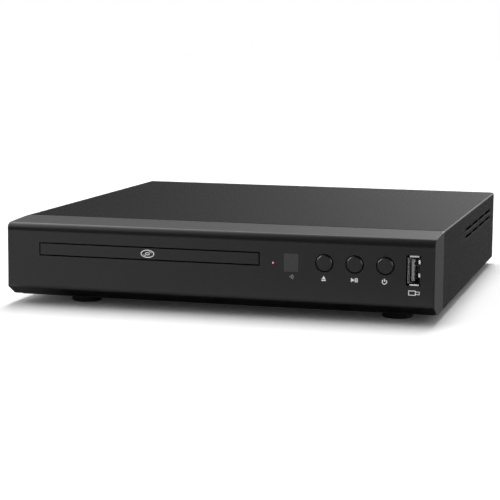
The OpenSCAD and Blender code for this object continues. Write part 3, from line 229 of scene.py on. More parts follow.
# tones: the two ends of the colour; rough: the two ends of the roughness; grain: grains per metre
# and their depth in metres; worn: colour and strength on edges; edge: radius in metres to which the
# edges are shaded round; brush: lines per metre along x, y and z; gloss: level of the mirror part;
# dust: how much lies on faces that look up; bareFrom: y from which metal is bare, with black before
# it, the jacks' own housing and painted shade on the pan's front edge; lids: colour of the ends that
# look up; spangle: crystals per metre and how much they lighten; what tracks, glow and the painted
# highlight and painted shade of a port hold is said at the functions that use them
finishes = {
    "bezel_plastic": dict(tones=[(0.0105, 0.0105, 0.011), (0.0135, 0.0135, 0.014)],
        rough=(0.27, 0.32), grain=(2400, 0.000006), worn=((0.03, 0.03, 0.03), 0.25), ior=1.46,
        edge=0.0003, dust=0.015),
    "cover_paint": dict(tones=[(0.016, 0.016, 0.0165), (0.02, 0.02, 0.0206)], rough=(0.24, 0.29),
        grain=(1900, 0.00001), worn=((0.035, 0.035, 0.035), 0.25), ior=1.45, gloss=0.015,
        edge=0.0005, dust=0.02),
    "rear_paint": dict(tones=[(0.016, 0.016, 0.0165), (0.02, 0.02, 0.0206)], rough=(0.4, 0.46),
        grain=(1900, 0.00001), worn=((0.05, 0.05, 0.05), 0.4), ior=1.45, gloss=0.15,
        edge=0.0004, dust=0.01),
    # the pan's front edge, before bareFrom, is black: painted shade below the bezel
    "galvanised_steel": dict(tones=[(0.42, 0.43, 0.44), (0.6, 0.61, 0.62)], rough=(0.28, 0.46),
        metal=1.0, spangle=dict(size=150, amount=0.35), grain=(900, 0.000002), edge=0.0003,
        bareFrom=-0.1145),
    "foot_rubber": dict(tones=[(0.008, 0.008, 0.008), (0.014, 0.014, 0.014)], rough=(0.7, 0.85),
        grain=(1200, 0.00002), edge=0.0005, dust=0.03),
    "black_screw": dict(tones=[(0.02, 0.02, 0.02), (0.035, 0.035, 0.035)], rough=(0.3, 0.42),
        metal=0.6, grain=(3000, 0.000003), worn=((0.3, 0.3, 0.3), 0.5), edge=0.0002),
    "zinc_screw": dict(tones=[(0.55, 0.55, 0.53), (0.7, 0.7, 0.68)], rough=(0.25, 0.4),
        metal=1.0, grain=(3000, 0.000003), edge=0.0002),
    "smoked_acrylic": dict(tones=[(0.036, 0.037, 0.037), (0.042, 0.043, 0.043)],
        rough=(0.12, 0.2), grain=(500, 0.000001)),
    "red_lens": dict(tones=[(0.10, 0.006, 0.012), (0.14, 0.008, 0.016)], rough=(0.1, 0.18),
        grain=(900, 0.000001), glow=dict(place=(0.03352, 0.0309), size=0.00075,
            hot=(1.0, 0.42, 0.48), far=(0.05, 0.001, 0.003))),
    "diode_epoxy": dict(tones=[(0.75, 0.7, 0.62), (0.8, 0.76, 0.7)], rough=(0.1, 0.2),
        grain=(900, 0.000001)),
    "nickel_plate": dict(tones=[(0.62, 0.61, 0.59), (0.72, 0.71, 0.69)], rough=(0.2, 0.34),
        metal=1.0, brush=(400, 400, 3000), grain=(2500, 0.000001), edge=0.00015,
        # the port's lips get a painted highlight, and its sides and what lies deep in it painted shade
        portPaintedLight=dict(x=0.11125, z=0.03005, lean=0.15, depth=0.0005, lip=0.0072, left=0.42,
            right=0.1)),
    "tongue_plastic": dict(tones=[(0.3, 0.3, 0.29), (0.36, 0.36, 0.35)], rough=(0.4, 0.5),
        grain=(1800, 0.000004), edge=0.00015),
    "board_green": dict(tones=[(0.012, 0.09, 0.03), (0.02, 0.13, 0.045)], rough=(0.25, 0.35),
        grain=(600, 0.00001), edge=0.0002,
        tracks=dict(size=420.0, scatter=0.55, width=0.05, lighter=1.35)),
    "board_brown": dict(tones=[(0.3, 0.16, 0.055), (0.36, 0.2, 0.075)], rough=(0.5, 0.6),
        grain=(600, 0.00001), edge=0.0002),
    "chip_epoxy": dict(tones=[(0.012, 0.012, 0.012), (0.02, 0.02, 0.02)], rough=(0.5, 0.6),
        grain=(4000, 0.000004), edge=0.0002),
    "capacitor_sleeve": dict(tones=[(0.01, 0.01, 0.04), (0.014, 0.014, 0.06)], rough=(0.2, 0.3),
        grain=(600, 0.000002), lids=(0.6, 0.6, 0.6)),
    "connector_ivory": dict(tones=[(0.66, 0.62, 0.5), (0.72, 0.68, 0.56)], rough=(0.4, 0.5),
        grain=(1500, 0.000004), edge=0.0002),
    "ribbon_white": dict(tones=[(0.55, 0.55, 0.53), (0.66, 0.66, 0.64)], rough=(0.25, 0.35),
        brush=(20, 20, 1000), grain=(900, 0.000001)),
    "wire_red": dict(tones=[(0.4, 0.02, 0.015), (0.48, 0.03, 0.02)], rough=(0.3, 0.4),
        grain=(900, 0.000002)),
    "socket_black": dict(tones=[(0.012, 0.012, 0.012), (0.018, 0.018, 0.018)],
        rough=(0.38, 0.46), grain=(2200, 0.000006), edge=0.0003),
    "jack_nickel": dict(tones=[(0.62, 0.6, 0.55), (0.72, 0.7, 0.64)], rough=(0.16, 0.28),
        metal=1.0, grain=(2500, 0.000001), edge=0.00015, bareFrom=panelY + 0.00002),
    "coil_tape": dict(tones=[(0.55, 0.38, 0.03), (0.62, 0.44, 0.05)], rough=(0.3, 0.4),
        grain=(700, 0.000004)),
    "fuse_glass": dict(tones=[(0.7, 0.72, 0.74), (0.78, 0.8, 0.82)], rough=(0.08, 0.14),
        grain=(700, 0.000001)),
    "loader_plastic": dict(tones=[(0.5, 0.5, 0.47), (0.56, 0.56, 0.53)], rough=(0.42, 0.5),
        grain=(1600, 0.000006), edge=0.0004, dust=0.02),
    "belt_rubber": dict(tones=[(0.01, 0.01, 0.01), (0.016, 0.016, 0.016)], rough=(0.6, 0.75),
        grain=(1500, 0.000006)),
    "motor_can": dict(tones=[(0.5, 0.5, 0.51), (0.6, 0.6, 0.61)], rough=(0.25, 0.38),
        metal=1.0, brush=(300, 300, 3500), grain=(2500, 0.000001), edge=0.0003),
    "tray_plastic": dict(tones=[(0.012, 0.012, 0.0125), (0.018, 0.018, 0.0185)],
        rough=(0.42, 0.52), grain=(2200, 0.00001), worn=((0.04, 0.04, 0.04), 0.3), ior=1.46,
        edge=0.0004, dust=0.02),
    "gear_acetal": dict(tones=[(0.68, 0.68, 0.62), (0.74, 0.74, 0.68)], rough=(0.36, 0.44),
        grain=(1800, 0.000003), edge=0.0002),
    "slider_plastic": dict(tones=[(0.02, 0.02, 0.022), (0.026, 0.026, 0.028)], rough=(0.38, 0.46),
        grain=(1800, 0.000005), edge=0.0003),
    "traverse_plastic": dict(tones=[(0.012, 0.012, 0.013), (0.018, 0.018, 0.019)],
        rough=(0.42, 0.52), grain=(1800, 0.000008), edge=0.0003),
    "polished_steel": dict(tones=[(0.66, 0.66, 0.66), (0.74, 0.74, 0.74)], rough=(0.08, 0.16),
        metal=1.0, brush=(3000, 60, 3000), grain=(2500, 0.0000005)),
    "magnet_ferrite": dict(tones=[(0.12, 0.12, 0.125), (0.17, 0.17, 0.175)], rough=(0.4, 0.55),
        metal=0.7, grain=(2600, 0.000006), edge=0.0002),
    "pickup_metal": dict(tones=[(0.34, 0.34, 0.35), (0.44, 0.44, 0.45)], rough=(0.36, 0.5),
        metal=1.0, grain=(1400, 0.000012), edge=0.0004),
    "lens_glass": dict(tones=[(0.45, 0.55, 0.9), (0.5, 0.62, 0.95)], rough=(0.03, 0.06),
        ior=1.52, grain=(300, 0.0000005)),
    "cap_plastic": dict(tones=[(0.0115, 0.0115, 0.012), (0.0145, 0.0145, 0.015)],
        rough=(0.30, 0.36), grain=(2600, 0.000003), worn=((0.03, 0.03, 0.03), 0.2), ior=1.48,
        edge=0.00025, dust=0.01),
    "plunger_plastic": dict(tones=[(0.66, 0.66, 0.62), (0.72, 0.72, 0.68)], rough=(0.4, 0.48),
        grain=(1800, 0.000003)),
}
driftSize = 35.0                        # slow drift of colour on every finish
# black of the jacks' housing, and painted shade on the pan's front edge
housingBlackAndPaintedShade = (0.015, 0.015, 0.015, 1)
dustColor = (0.4, 0.4, 0.39, 1)


def makeFinish(name, tones, rough, grain, metal=0.0, worn=None, brush=None, spangle=None,
        tracks=None, bareFrom=None, lids=None, portPaintedLight=None, glow=None, ior=1.5, gloss=0.5,
        edge=0.0, dust=0.0):
    material = bpy.data.materials.new(name)
    tree = newTree(material)
    coords = addNode(tree, "ShaderNodeTexCoord").outputs["Object"]
    shader = addNode(tree, "ShaderNodeBsdfPrincipled",
        {"IOR": ior, "Metallic": metal, "Specular IOR Level": gloss})
    addNode(tree, "ShaderNodeOutputMaterial", None, {"Surface": shader.outputs["BSDF"]})
    toneA, toneB = (tuple(t) + (1,) for t in tones)
    drift = useGroup(tree, driftGroup, {"Tone A": toneA, "Tone B": toneB, "Size": driftSize},
        {"Vector": coords})
    color = drift.outputs["Color"]
    skin = useGroup(tree, grainGroup, {"Size": float(grain[0])}, {"Vector": coords})
    height, shine = skin.outputs["Height"], skin.outputs["Mask"]
    if brush:
        lines = useGroup(tree, brushGroup, {"Stretch": brush}, {"Vector": coords})
        shine = lines.outputs["Mask"]
        height = mathNode(tree, "ADD", height, lines.outputs["Height"])
    if spangle:
        cells = useGroup(tree, spangleGroup, {"Size": float(spangle["size"])}, {"Vector": coords})
        shine = cells.outputs["Mask"]
        color = blendColor(tree, mathNode(tree, "MULTIPLY", shine, spangle["amount"]), color, toneB)
    if tracks:
        color, height = addTracks(tree, coords, color, height, toneB, **tracks)
    # black housing of the jacks, and painted shade on the pan's front edge
    if bareFrom is not None:
        color = addBlackHousingAndPaintedShade(tree, coords, color, shader, bareFrom)
    if lids:
        color = addLids(tree, color, shader, lids)
    # painted highlight on a port's lips and painted shade in it
    if portPaintedLight:
        color = addPortPaintedLight(tree, coords, color, **portPaintedLight)
    if worn:
        rub = useGroup(tree, wearGroup, {"Radius": edge, "Amount": worn[1]},
            {"Vector": coords})
        color = blendColor(tree, rub.outputs["Mask"], color, tuple(worn[0]) + (1,))
        normal = rub.outputs["Normal"]
    elif edge:
        normal = useGroup(tree, wearGroup, {"Radius": edge}, {"Vector": coords}).outputs["Normal"]
    else:
        normal = None
    if dust:
        film = useGroup(tree, dustGroup, {"Amount": dust}, {"Vector": coords})
        color = blendColor(tree, film.outputs["Mask"], color, dustColor)
    tree.links.new(color, shader.inputs["Base Color"])
    span = addNode(tree, "ShaderNodeMapRange", {"To Min": rough[0], "To Max": rough[1]},
        {"Value": shine})
    tree.links.new(span.outputs["Result"], shader.inputs["Roughness"])
    bump = addNode(tree, "ShaderNodeBump", {"Strength": 1.0, "Distance": grain[1]},
        {"Height": height})
    if normal:
        tree.links.new(normal, bump.inputs["Normal"])
    tree.links.new(bump.outputs["Normal"], shader.inputs["Normal"])
    if glow:
        tree.links.new(addHotSpot(tree, coords, **glow), shader.inputs["Emission Color"])
        shader.inputs["Emission Strength"].default_value = 1.0
    return material


def blendColor(tree, factor, a, b):
    mix = addNode(tree, "ShaderNodeMix", data_type="RGBA")
    tree.links.new(factor, mix.inputs["Factor"])
    for key, item in (("A", a), ("B", b)):
        if isinstance(item, tuple):
            mix.inputs[key].default_value = item
        else:
            tree.links.new(item, mix.inputs[key])
    return mix.outputs["Result"]


# copper tracks under the lacquer of a board: the borders of cells, size of them per metre and
# scattered off their grid, where width is a share of a cell and lighter multiplies the tone
def addTracks(tree, coords, color, height, tone, size, scatter, width, lighter):
    cell = addNode(tree, "ShaderNodeTexVoronoi", {"Scale": size, "Randomness": scatter},
        {"Vector": coords}, feature="DISTANCE_TO_EDGE")
    line = mathNode(tree, "LESS_THAN", cell.outputs["Distance"], width)
    copper = tuple(min(1.0, c * lighter) for c in tone[:3]) + (1,)
    return blendColor(tree, line, color, copper), mathNode(tree, "ADD", height, line)


# the ends of a sleeved can that look up, with a normal close to upright, are bare metal
def addLids(tree, color, shader, tone):
    upright = 0.9
    flat = addNode(tree, "ShaderNodeNewGeometry")
    axes = addNode(tree, "ShaderNodeSeparateXYZ", None, {"Vector": flat.outputs["Normal"]})
    lid = mathNode(tree, "GREATER_THAN", axes.outputs["Z"], upright)
    tree.links.new(lid, shader.inputs["Metallic"])
    return blendColor(tree, lid, color, tuple(tone) + (1,))


# metal is bare from one y on, and black before it: the jacks' own black housing, whose barrels stand
# out of the rear panel, and painted shade on the front edge of the pan, which would shine below the
# bezel
def addBlackHousingAndPaintedShade(tree, coords, color, shader, start):
    axes = addNode(tree, "ShaderNodeSeparateXYZ", None, {"Vector": coords})
    bare = mathNode(tree, "GREATER_THAN", axes.outputs["Y"], start)
    tree.links.new(bare, shader.inputs["Metallic"])
    return blendColor(tree, bare, housingBlackAndPaintedShade, color)


# painted light on the lips of a port around (x, z): a painted highlight beyond lip above and below the
# middle, painted shade at the sides in tone from left to right, and painted shade on what lies deeper
# than a plane, slanted by lean
def addPortPaintedLight(tree, coords, color, x, z, lean, depth, lip, left, right):
    halfWidth, blur, paintedLipHighlight, paintedInnerShade = 0.002, 0.0004, (0.97, 0.97, 0.96, 1), (0.012, 0.012, 0.012, 1)
    axes = addNode(tree, "ShaderNodeSeparateXYZ", None, {"Vector": coords})
    across = mathNode(tree, "SUBTRACT", axes.outputs["X"], x)
    rise = mathNode(tree, "ABSOLUTE", mathNode(tree, "SUBTRACT", axes.outputs["Z"], z))
    tone = addNode(tree, "ShaderNodeMapRange", {"From Min": -halfWidth, "From Max": halfWidth,
        "To Min": left, "To Max": right}, {"Value": across})
    grey = addNode(tree, "ShaderNodeCombineColor", None,
        {key: tone.outputs["Result"] for key in ("Red", "Green", "Blue")})
    flat = mathNode(tree, "GREATER_THAN", rise, lip)
    color = blendColor(tree, flat, grey.outputs["Color"], paintedLipHighlight)
    front = mathNode(tree, "ADD", axes.outputs["Y"], mathNode(tree, "MULTIPLY", across, lean))
    paintedDepthShade = addNode(tree, "ShaderNodeMapRange",
        {"From Min": faceY + depth, "From Max": faceY + depth + blur}, {"Value": front})
    return blendColor(tree, paintedDepthShade.outputs["Result"], color, paintedInnerShade)


# a lit diode behind its lens: hot round one place (x, z) of the front, falling off over size
def addHotSpot(tree, coords, place, size, hot, far):
    core = 0.3                          # share of size that is fully lit
    axes = addNode(tree, "ShaderNodeSeparateXYZ", None, {"Vector": coords})
    flat = addNode(tree, "ShaderNodeCombineXYZ", None,
        {"X": axes.outputs["X"], "Z": axes.outputs["Z"]})
    away = addNode(tree, "ShaderNodeVectorMath", {1: (place[0], 0.0, place[1])},
        {0: flat.outputs["Vector"]}, operation="DISTANCE")
    near = addNode(tree, "ShaderNodeMapRange", {"From Min": size, "From Max": size * core},
        {"Value": away.outputs["Value"]}, interpolation_type="SMOOTHSTEP")
    return blendColor(tree, near.outputs["Result"], tuple(far) + (1,), tuple(hot) + (1,))


materials = {name: makeFinish(name, **settings) for name, settings in finishes.items()}
for row in frame["record"]["subparts"]:
    mesh = nodes[row["node"]].data
    mesh.materials.clear()
    mesh.materials.append(materials[row["material_slot"]])
print("finishes on the frame:", len(materials))


# surfaces

# points of a function of two parameters on a grid, u along rows and v along columns, as quads;
# closedU or closedV joins the last row or column to the first
def gridSurface(shape, countU, countV, closedU=False, closedV=False):
    u, v = np.meshgrid(np.linspace(0, 1, countU, endpoint=not closedU),
        np.linspace(0, 1, countV, endpoint=not closedV), indexing="ij")
    points = np.stack([np.broadcast_to(c, u.shape) for c in shape(u, v)], axis=-1).reshape(-1, 3)
    rows = np.arange(countU if closedU else countU - 1)[:, None]
    cols = np.arange(countV if closedV else countV - 1)[None, :]
    nextRow, nextCol = (rows + 1) % countU, (cols + 1) % countV
    quads = np.stack(np.broadcast_arrays(rows * countV + cols, nextRow * countV + cols,
        nextRow * countV + nextCol, rows * countV + nextCol), axis=-1).reshape(-1, 4)
    return points, quads


def joinSurfaces(surfaces):
    offsets = np.cumsum([0] + [len(points) for points, quads in surfaces[:-1]])
    return (np.concatenate([points for points, quads in surfaces]),
        np.concatenate([quads + offset for (points, quads), offset in zip(surfaces, offsets)]))


# one piece of the surfaces, with a wall of thickness on both sides where it isn't closed already
def makePiece(name, surfaces, material, body, thickness=0.0, smooth=True):
    points, quads = joinSurfaces(surfaces)
    mesh = bpy.data.meshes.new(name)
    mesh.from_pydata(points.tolist(), [], quads.tolist())
    mesh.polygons.foreach_set("use_smooth", np.full(len(mesh.polygons), smooth))
    mesh.materials.append(material)
    mesh.update()
    piece = bpy.data.objects.new(name, mesh)
    bpy.context.scene.collection.objects.link(piece)
    if thickness:
        wall = piece.modifiers.new("wall", "SOLIDIFY")
        wall.thickness = thickness
        wall.offset = 0.0
    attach(piece, body)


# printed marks

marks = dict(y=faceY - 0.00001, ink=0.00003, color=(0.95, 0.95, 0.95), faint=(0.34, 0.34, 0.34))
mm = 0.001                              # the marks are drawn in millimetres


# patch between four corners (x, z), worked out bilinearly; the corners run round the patch
def patch(corners):
    a, b, c, d = (np.array(corner) * mm for corner in corners)
    def shape(u, v):
        flat = [(1 - u) * (1 - v) * a[i] + u * (1 - v) * b[i] + u * v * c[i] + (1 - u) * v * d[i]
            for i in (0, 1)]
        return flat[0], marks["y"] + 0 * u, flat[1]
    return gridSurface(shape, 2, 2)


# band of an ellipse around (x, z): half its width inside and half outside the two radii, with the
# angle over start..end in degrees
def band(x, z, radii, width, start=0.0, end=360.0, steps=48):
    def shape(u, v):
        angle = np.radians(start + (end - start) * u)
        grow = width * (v - 0.5)
        return ((x + (radii[0] + grow) * np.cos(angle)) * mm, marks["y"] + 0 * u,
            (z + (radii[1] + grow) * np.sin(angle)) * mm)
    return gridSurface(shape, steps + 1, 2)


def bar(x0, x1, z0, z1):
    return patch([(x0, z0), (x1, z0), (x1, z1), (x0, z1)])


def makeInk(name, color):
    return makeFinish(name, tones=[tuple(c * 0.94 for c in color), color], rough=(0.4, 0.5),
        grain=(3000, 0.000002))


whiteInk = makeInk("white_ink", marks["color"])
greyInk = makeInk("grey_ink", marks["faint"])

# triangle over a bar
ejectMark = [patch([(60.7, 23.1), (63.1, 23.1), (61.95, 24.85), (61.85, 24.85)]),
    bar(60.7, 63.1, 22.2, 22.8)]
# triangle before two bars
playMark = [patch([(76.95, 22.25), (78.9, 23.38), (78.9, 23.48), (76.95, 24.6)]),
    bar(79.05, 79.72, 22.25, 24.6), bar(79.98, 80.65, 22.25, 24.6)]
# open ring with a bar
powerMark = [band(95.21, 23.3, (1.2, 1.2), 0.5, 128, 412), bar(94.96, 95.46, 23.5, 24.95)]
# stick with its plug
stickMark = [bar(108.2, 112.2, 18.95, 19.35), bar(108.2, 112.2, 16.65, 17.05),
    bar(108.2, 108.6, 17.05, 18.95), bar(111.8, 112.2, 17.05, 18.95),
    bar(112.2, 114.3, 18.5, 18.85), bar(112.2, 114.3, 17.15, 17.5),
    bar(113.95, 114.3, 17.5, 18.5)]
# three arcs of a signal
waveMark = [band(42.5, 23.7, (r, 0.75 * r), 0.4, -42, 42, 16) for r in (0.7, 1.6, 2.5)]
# a disc seen at an angle: rim, hub and two glints
discPlace = (-38.45, 32.6)
discMark = [band(*discPlace, (3.7, 2.0), 0.5), band(*discPlace, (1.15, 0.62), 0.42),
    band(*discPlace, (2.45, 1.32), 0.3, 20, 70, 12), band(*discPlace, (2.45, 1.32), 0.3, 200, 250, 12)]
for name, surfaces, ink, body in [
        ("eject_mark", ejectMark, whiteInk, "case"), ("play_mark", playMark, whiteInk, "case"),
        ("power_mark", powerMark, whiteInk, "case"), ("stick_mark", stickMark, whiteInk, "case"),
        ("wave_mark", waveMark, greyInk, "case"), ("disc_mark", discMark, whiteInk, "tray")]:
    makePiece(name, surfaces, ink, body, thickness=marks["ink"], smooth=False)
print("marks printed")


# insides of the port

# x and z: the middle of the port; inner: from there to its side wall; tongueFace: to the tongue
port = dict(x=0.11125, z=0.03005, inner=0.00255, tongueFace=-0.000125)
# places up from the middle; tab: how far it stands beside the mouth, and slant: how far its end
# leans out for that; turn: radius of its quarter turn; proud: how far that stands out of the face;
# length and bulge of the leaf inside, its drift off the wall and the gap that it keeps
spring = dict(places=(-0.00243, 0.0047), width=0.0021, thick=0.00016, tab=0.00065, slant=0.35,
    turn=0.0003, proud=0.00035, length=0.0062, bulge=0.00055, drift=0.00018, gap=0.0001)
# start: from the face; lift: off the tongue; dip: how far the front end goes down
contact = dict(places=(-0.0035, -0.001, 0.001, 0.0035), width=0.0009, thick=0.00012,
    start=0.0026, length=0.0066, lift=0.00012, dip=0.0004)


# leaf spring: a tab in front of the lip over the first 0.3 of u turns a quarter circle up to 0.5
# into the port, where the leaf bows off the wall by sin squared
def leafSpring(z):
    def shape(u, v):
        angle = np.clip((u - 0.3) / 0.2, 0, 1) * np.pi / 2
        tab = spring["tab"] * (1 - np.clip(u / 0.3, 0, 1))
        inside = np.clip((u - 0.5) / 0.5, 0, 1)
        bow = spring["bulge"] * np.sin(np.pi * inside) ** 2
        x = (port["inner"] + spring["gap"] + tab - spring["turn"] * np.sin(angle)
            + spring["drift"] * inside - bow)
        y = (faceY - spring["proud"] + spring["turn"] * (1 - np.cos(angle))
            + spring["length"] * inside - spring["slant"] * tab)
        return port["x"] + x, y, port["z"] + z + spring["width"] * (v - 0.5)
    return gridSurface(shape, 41, 5)


# contact blade: flat on the tongue, and turned down into it over the first 0.15 of u
def contactBlade(z):
    def shape(u, v):
        dip = contact["dip"] * np.clip(1 - u / 0.15, 0, 1) ** 2
        return (port["x"] + port["tongueFace"] - contact["lift"] - dip,
            faceY + contact["start"] + contact["length"] * u,
            port["z"] + z + contact["width"] * (v - 0.5))
    return gridSurface(shape, 17, 3)


springSteel = makeFinish("spring_steel", tones=[(0.86, 0.86, 0.86), (0.94, 0.94, 0.94)],
    rough=(0.1, 0.16), grain=(2500, 0.000001), metal=1.0)
goldPlate = makeFinish("gold_plate", tones=[(0.75, 0.5, 0.14), (0.85, 0.6, 0.2)],
    rough=(0.2, 0.3), grain=(2500, 0.000001), metal=1.0)
makePiece("port_springs", [leafSpring(z) for z in spring["places"]], springSteel, "case",
    thickness=spring["thick"])
makePiece("port_contacts", [contactBlade(z) for z in contact["places"]], goldPlate, "case",
    thickness=contact["thick"])
print("port fitted")


# coloured collars of the signal jacks

# rings: inner and outer radius, thickness and distance from the rear panel; places: x and colour
jacks = dict(z=0.0208,
    rings={"collar": (0.00422, 0.0054, 0.0006, 0.00002), "core": (0.00168, 0.00254, 0.0003, 0.0081)},
    places={"white": (-0.086, (0.72, 0.72, 0.7)), "red": (-0.100, (0.5, 0.015, 0.015)),
        "yellow": (-0.072, (0.72, 0.5, 0.02)), "orange": (-0.050, (0.7, 0.2, 0.02))})


# closed washer: the angle runs along u, and a rounded rectangle in radius and depth along v, where
# a power of sine and cosine below 1 squares the round
def washer(x, z, inner, outer, thick, away):
    squareness = 0.45
    def shape(u, v):
        angle, turn = 2 * np.pi * u, 2 * np.pi * v
        corner = lambda t: np.sign(t) * np.abs(t) ** squareness
        r = (inner + outer) / 2 + (outer - inner) / 2 * corner(np.cos(turn))
        y = panelY + away + thick / 2 + thick / 2 * corner(np.sin(turn))
        return x + r * np.cos(angle), y, z + r * np.sin(angle)
    return gridSurface(shape, 64, 20, closedU=True, closedV=True)


for name, (x, color) in jacks["places"].items():
    finish = makeFinish(name + "_collar", tones=[tuple(c * 0.9 for c in color), color],
        rough=(0.3, 0.4), grain=(1800, 0.000003))
    for part, ring in jacks["rings"].items():
        makePiece(name + "_jack_" + part, [washer(x, jacks["z"], *ring)], finish, "case")
print("jacks coloured")


# floor, light and camera

# seenColor: the floor as the camera sees it; shadowLift: light added there, so that the shadow
# isn't black; ambient: strength of the surroundings on dull surfaces; lamps: where each stands, how
# wide it is in degrees, and its power
stage = dict(floorSize=14.0, floorZ=-0.00002, floorColor=(0.94, 0.94, 0.94),
    seenColor=(1.2, 1.2, 1.2), shadowLift=0.011, ambient=0.35,
    lamps={"high_lamp": ((-0.1, 0.26, 1.5), 22, 0.65), "top_lamp": ((-0.1, 0.73, 1.5), 22, 0.68),
        "back_lamp": ((-0.1, 1.35, 1.5), 22, 0.7), "left_lamp": ((-1.0, -0.15, 0.5), 50, 0.9)})


# object of one surface that isn't part of the player
def stageSurface(name, shape, count, material):
    points, quads = gridSurface(shape, count, count)
    mesh = bpy.data.meshes.new(name)
    mesh.from_pydata(points.tolist(), [], quads.tolist())
    mesh.materials.append(material)
    surface = bpy.data.objects.new(name, mesh)
    bpy.context.scene.collection.objects.link(surface)
    surface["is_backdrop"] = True
    return surface


def makeFloor():
    material = bpy.data.materials.new("pale_floor")
    tree = newTree(material)
    path = addNode(tree, "ShaderNodeLightPath")
    color = blendColor(tree, path.outputs["Is Camera Ray"], stage["floorColor"] + (1,),
        stage["seenColor"] + (1,))
    diffuse = addNode(tree, "ShaderNodeBsdfDiffuse", None, {"Color": color})
    lift = mathNode(tree, "MULTIPLY", path.outputs["Is Camera Ray"], stage["shadowLift"])
    haze = addNode(tree, "ShaderNodeEmission", {"Color": (1, 1, 1, 1)}, {"Strength": lift})
    both = addNode(tree, "ShaderNodeAddShader", None,
        {0: diffuse.outputs["BSDF"], 1: haze.outputs["Emission"]})
    addNode(tree, "ShaderNodeOutputMaterial", None, {"Surface": both.outputs["Shader"]})
    half = stage["floorSize"] / 2
    def plane(u, v):
        return half * (2 * u - 1), half * (2 * v - 1), stage["floorZ"] + 0 * u
    stageSurface("floor", plane, 2, material)


# white for what the camera and reflections see, softer as light on dull surfaces
def makeWorld():
    world = bpy.data.worlds.new("studio")
    bpy.context.scene.world = world
    tree = newTree(world)
    path = addNode(tree, "ShaderNodeLightPath")
    seen = mathNode(tree, "MAXIMUM", path.outputs["Is Camera Ray"], path.outputs["Is Glossy Ray"])
    seen = mathNode(tree, "MAXIMUM", seen, path.outputs["Is Transmission Ray"])
    strength = addNode(tree, "ShaderNodeMapRange", {"To Min": stage["ambient"], "To Max": 1.0},
        {"Value": seen})
    sky = addNode(tree, "ShaderNodeBackground", {"Color": (1, 1, 1, 1)},
        {"Strength": strength.outputs["Result"]})
    addNode(tree, "ShaderNodeOutputWorld", None, {"Surface": sky.outputs["Background"]})


# a wide lamp, far away
def softLamp(name, place, spread, power):
    light = bpy.data.lights.new(name, "SUN")
    light.angle = math.radians(spread)
    light.energy = power
    lamp = bpy.data.objects.new(name, light)
    lamp.location = place
    lamp.rotation_euler = (-Vector(place)).to_track_quat("-Z", "Y").to_euler()
    lamp.visible_glossy = False
    bpy.context.scene.collection.objects.link(lamp)


# card spanned by two edges from a corner, that only reflections see; glow gives its brightness
# over the two edges, where 0 is black, 1 is white and more is a lit panel
def card(name, corner, edgeU, edgeV, glow):
    material = bpy.data.materials.new(name + "_face")
    tree = newTree(material)
    level = addNode(tree, "ShaderNodeAttribute", attribute_name="glow")
    face = addNode(tree, "ShaderNodeEmission", {"Color": (1, 1, 1, 1)},
        {"Strength": level.outputs["Fac"]})
    addNode(tree, "ShaderNodeOutputMaterial", None, {"Surface": face.outputs["Emission"]})
    count = 33
    def plane(u, v):
        return tuple(corner[i] + edgeU[i] * u + edgeV[i] * v for i in range(3))
    panel = stageSurface(name, plane, count, material)
    u, v = np.meshgrid(np.linspace(0, 1, count), np.linspace(0, 1, count), indexing="ij")
    values = panel.data.attributes.new("glow", "FLOAT", "POINT").data
    values.foreach_set("value", glow(u, v).ravel().astype(np.float32))
    panel.visible_camera = False
    panel.visible_shadow = False
    panel.visible_diffuse = False


# straight rise from 0 where t is start to 1 where it is end, which may lie before start
def ramp(t, start, end):
    return np.clip((t - start) / (end - start), 0, 1)


# the backdrop as it is mirrored: dark at the lower left, rising to the right, and lit high up
def backGlow(u, v):
    side = 0.04 + 0.73 * ramp(u, 0.67, 0.94) ** 2.5
    return np.maximum(side, 1.5 * ramp(v, 0.5, 0.7))


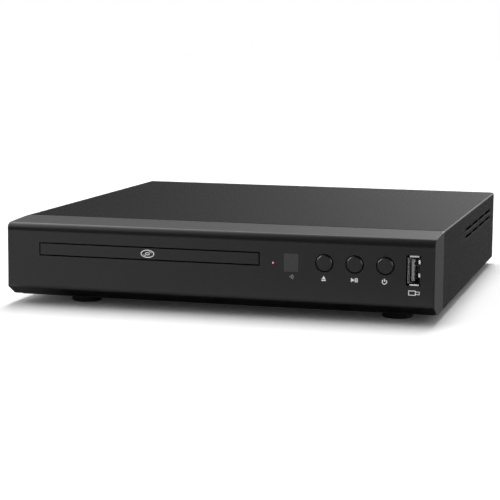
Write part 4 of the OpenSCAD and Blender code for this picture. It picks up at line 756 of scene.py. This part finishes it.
# corner, two edges and glow of each card
cards = {
    "front_card": ((-2.0, -1.5, 0.0), (4.0, 0, 0), (0, 0, 2.6),
        lambda u, v: ramp(u, 0.42, 0.27) * ramp(v, 0.09, 0)),
    "top_card": ((-2.5, -1.5, 1.2), (5.0, 0, 0), (0, 3.0, 0),
        lambda u, v: 2.2 * ramp(u, 0.49, 0.36) * ramp(v, 0, 0.62) ** 1.7),
    "back_card": ((-3.0, 1.3, 0.0), (3.2, 0, 0), (0, 0, 1.0), backGlow),
    "side_card": ((0.1235, -0.3, 0.0005), (1.0, 0, 0), (0, 2.7, 0), lambda u, v: 0.19 + 0 * u),
    "floor_card": ((-0.6, -1.45, 0.0004), (0.9, 0, 0), (0, 1.25, 0),
        lambda u, v: 1.1 - 0.6 * ramp(u, 0.25, 0.75)),
    "under_card": ((-0.2, -0.128, 0.0005), (0.3215, 0, 0), (0, 0.25, 0),
        lambda u, v: 0.08 * ramp(u, 0.34, 0.24)),
    "rim_panel": ((-1.25, -0.5, 0.35), (0, 0.8, 0), (0.55, 0, 0.52), lambda u, v: 10 + 0 * u),
    "edge_panel": ((0.22, 1.3, 0.14), (0.3, 0, 0), (0, 0, 0.3), lambda u, v: 4.0 + 0 * u),
    "right_panel": ((1.0, -0.8, 0.1), (0, 0.7, 0), (0, 0, 0.6), lambda u, v: 3.0 + 0 * u),
}

makeFloor()
makeWorld()
for name, (place, spread, power) in stage["lamps"].items():
    softLamp(name, place, spread, power)
for name, (corner, edgeU, edgeV, glow) in cards.items():
    card(name, corner, edgeU, edgeV, glow)

# lens and sensor in millimetres, place in metres; pitch down, yaw to the left and roll in degrees
shot = dict(lens=118.42, sensor=36.0, near=0.02, place=(0.25329, -0.98917, 0.15819),
    turns=(7.741, 15.169, 0.466))
camera = bpy.data.cameras.new("camera")
camera.lens = shot["lens"]
camera.sensor_width = shot["sensor"]
camera.clip_start = shot["near"]
view = bpy.data.objects.new("camera", camera)
pitch, yaw, roll = (math.radians(turn) for turn in shot["turns"])
look = Vector((-math.sin(yaw) * math.cos(pitch), math.cos(yaw) * math.cos(pitch), -math.sin(pitch)))
flatRight = Vector((math.cos(yaw), math.sin(yaw), 0))
flatUp = flatRight.cross(look)
right = math.cos(roll) * flatRight + math.sin(roll) * flatUp
up = -math.sin(roll) * flatRight + math.cos(roll) * flatUp
turned = Matrix((right, up, -look)).transposed().to_4x4()
view.matrix_world = Matrix.Translation(shot["place"]) @ turned
bpy.context.scene.collection.objects.link(view)
bpy.context.scene.camera = view
bpy.context.scene.view_settings.view_transform = "Standard"
print("studio set")

seenBox = [list(corner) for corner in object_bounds()]
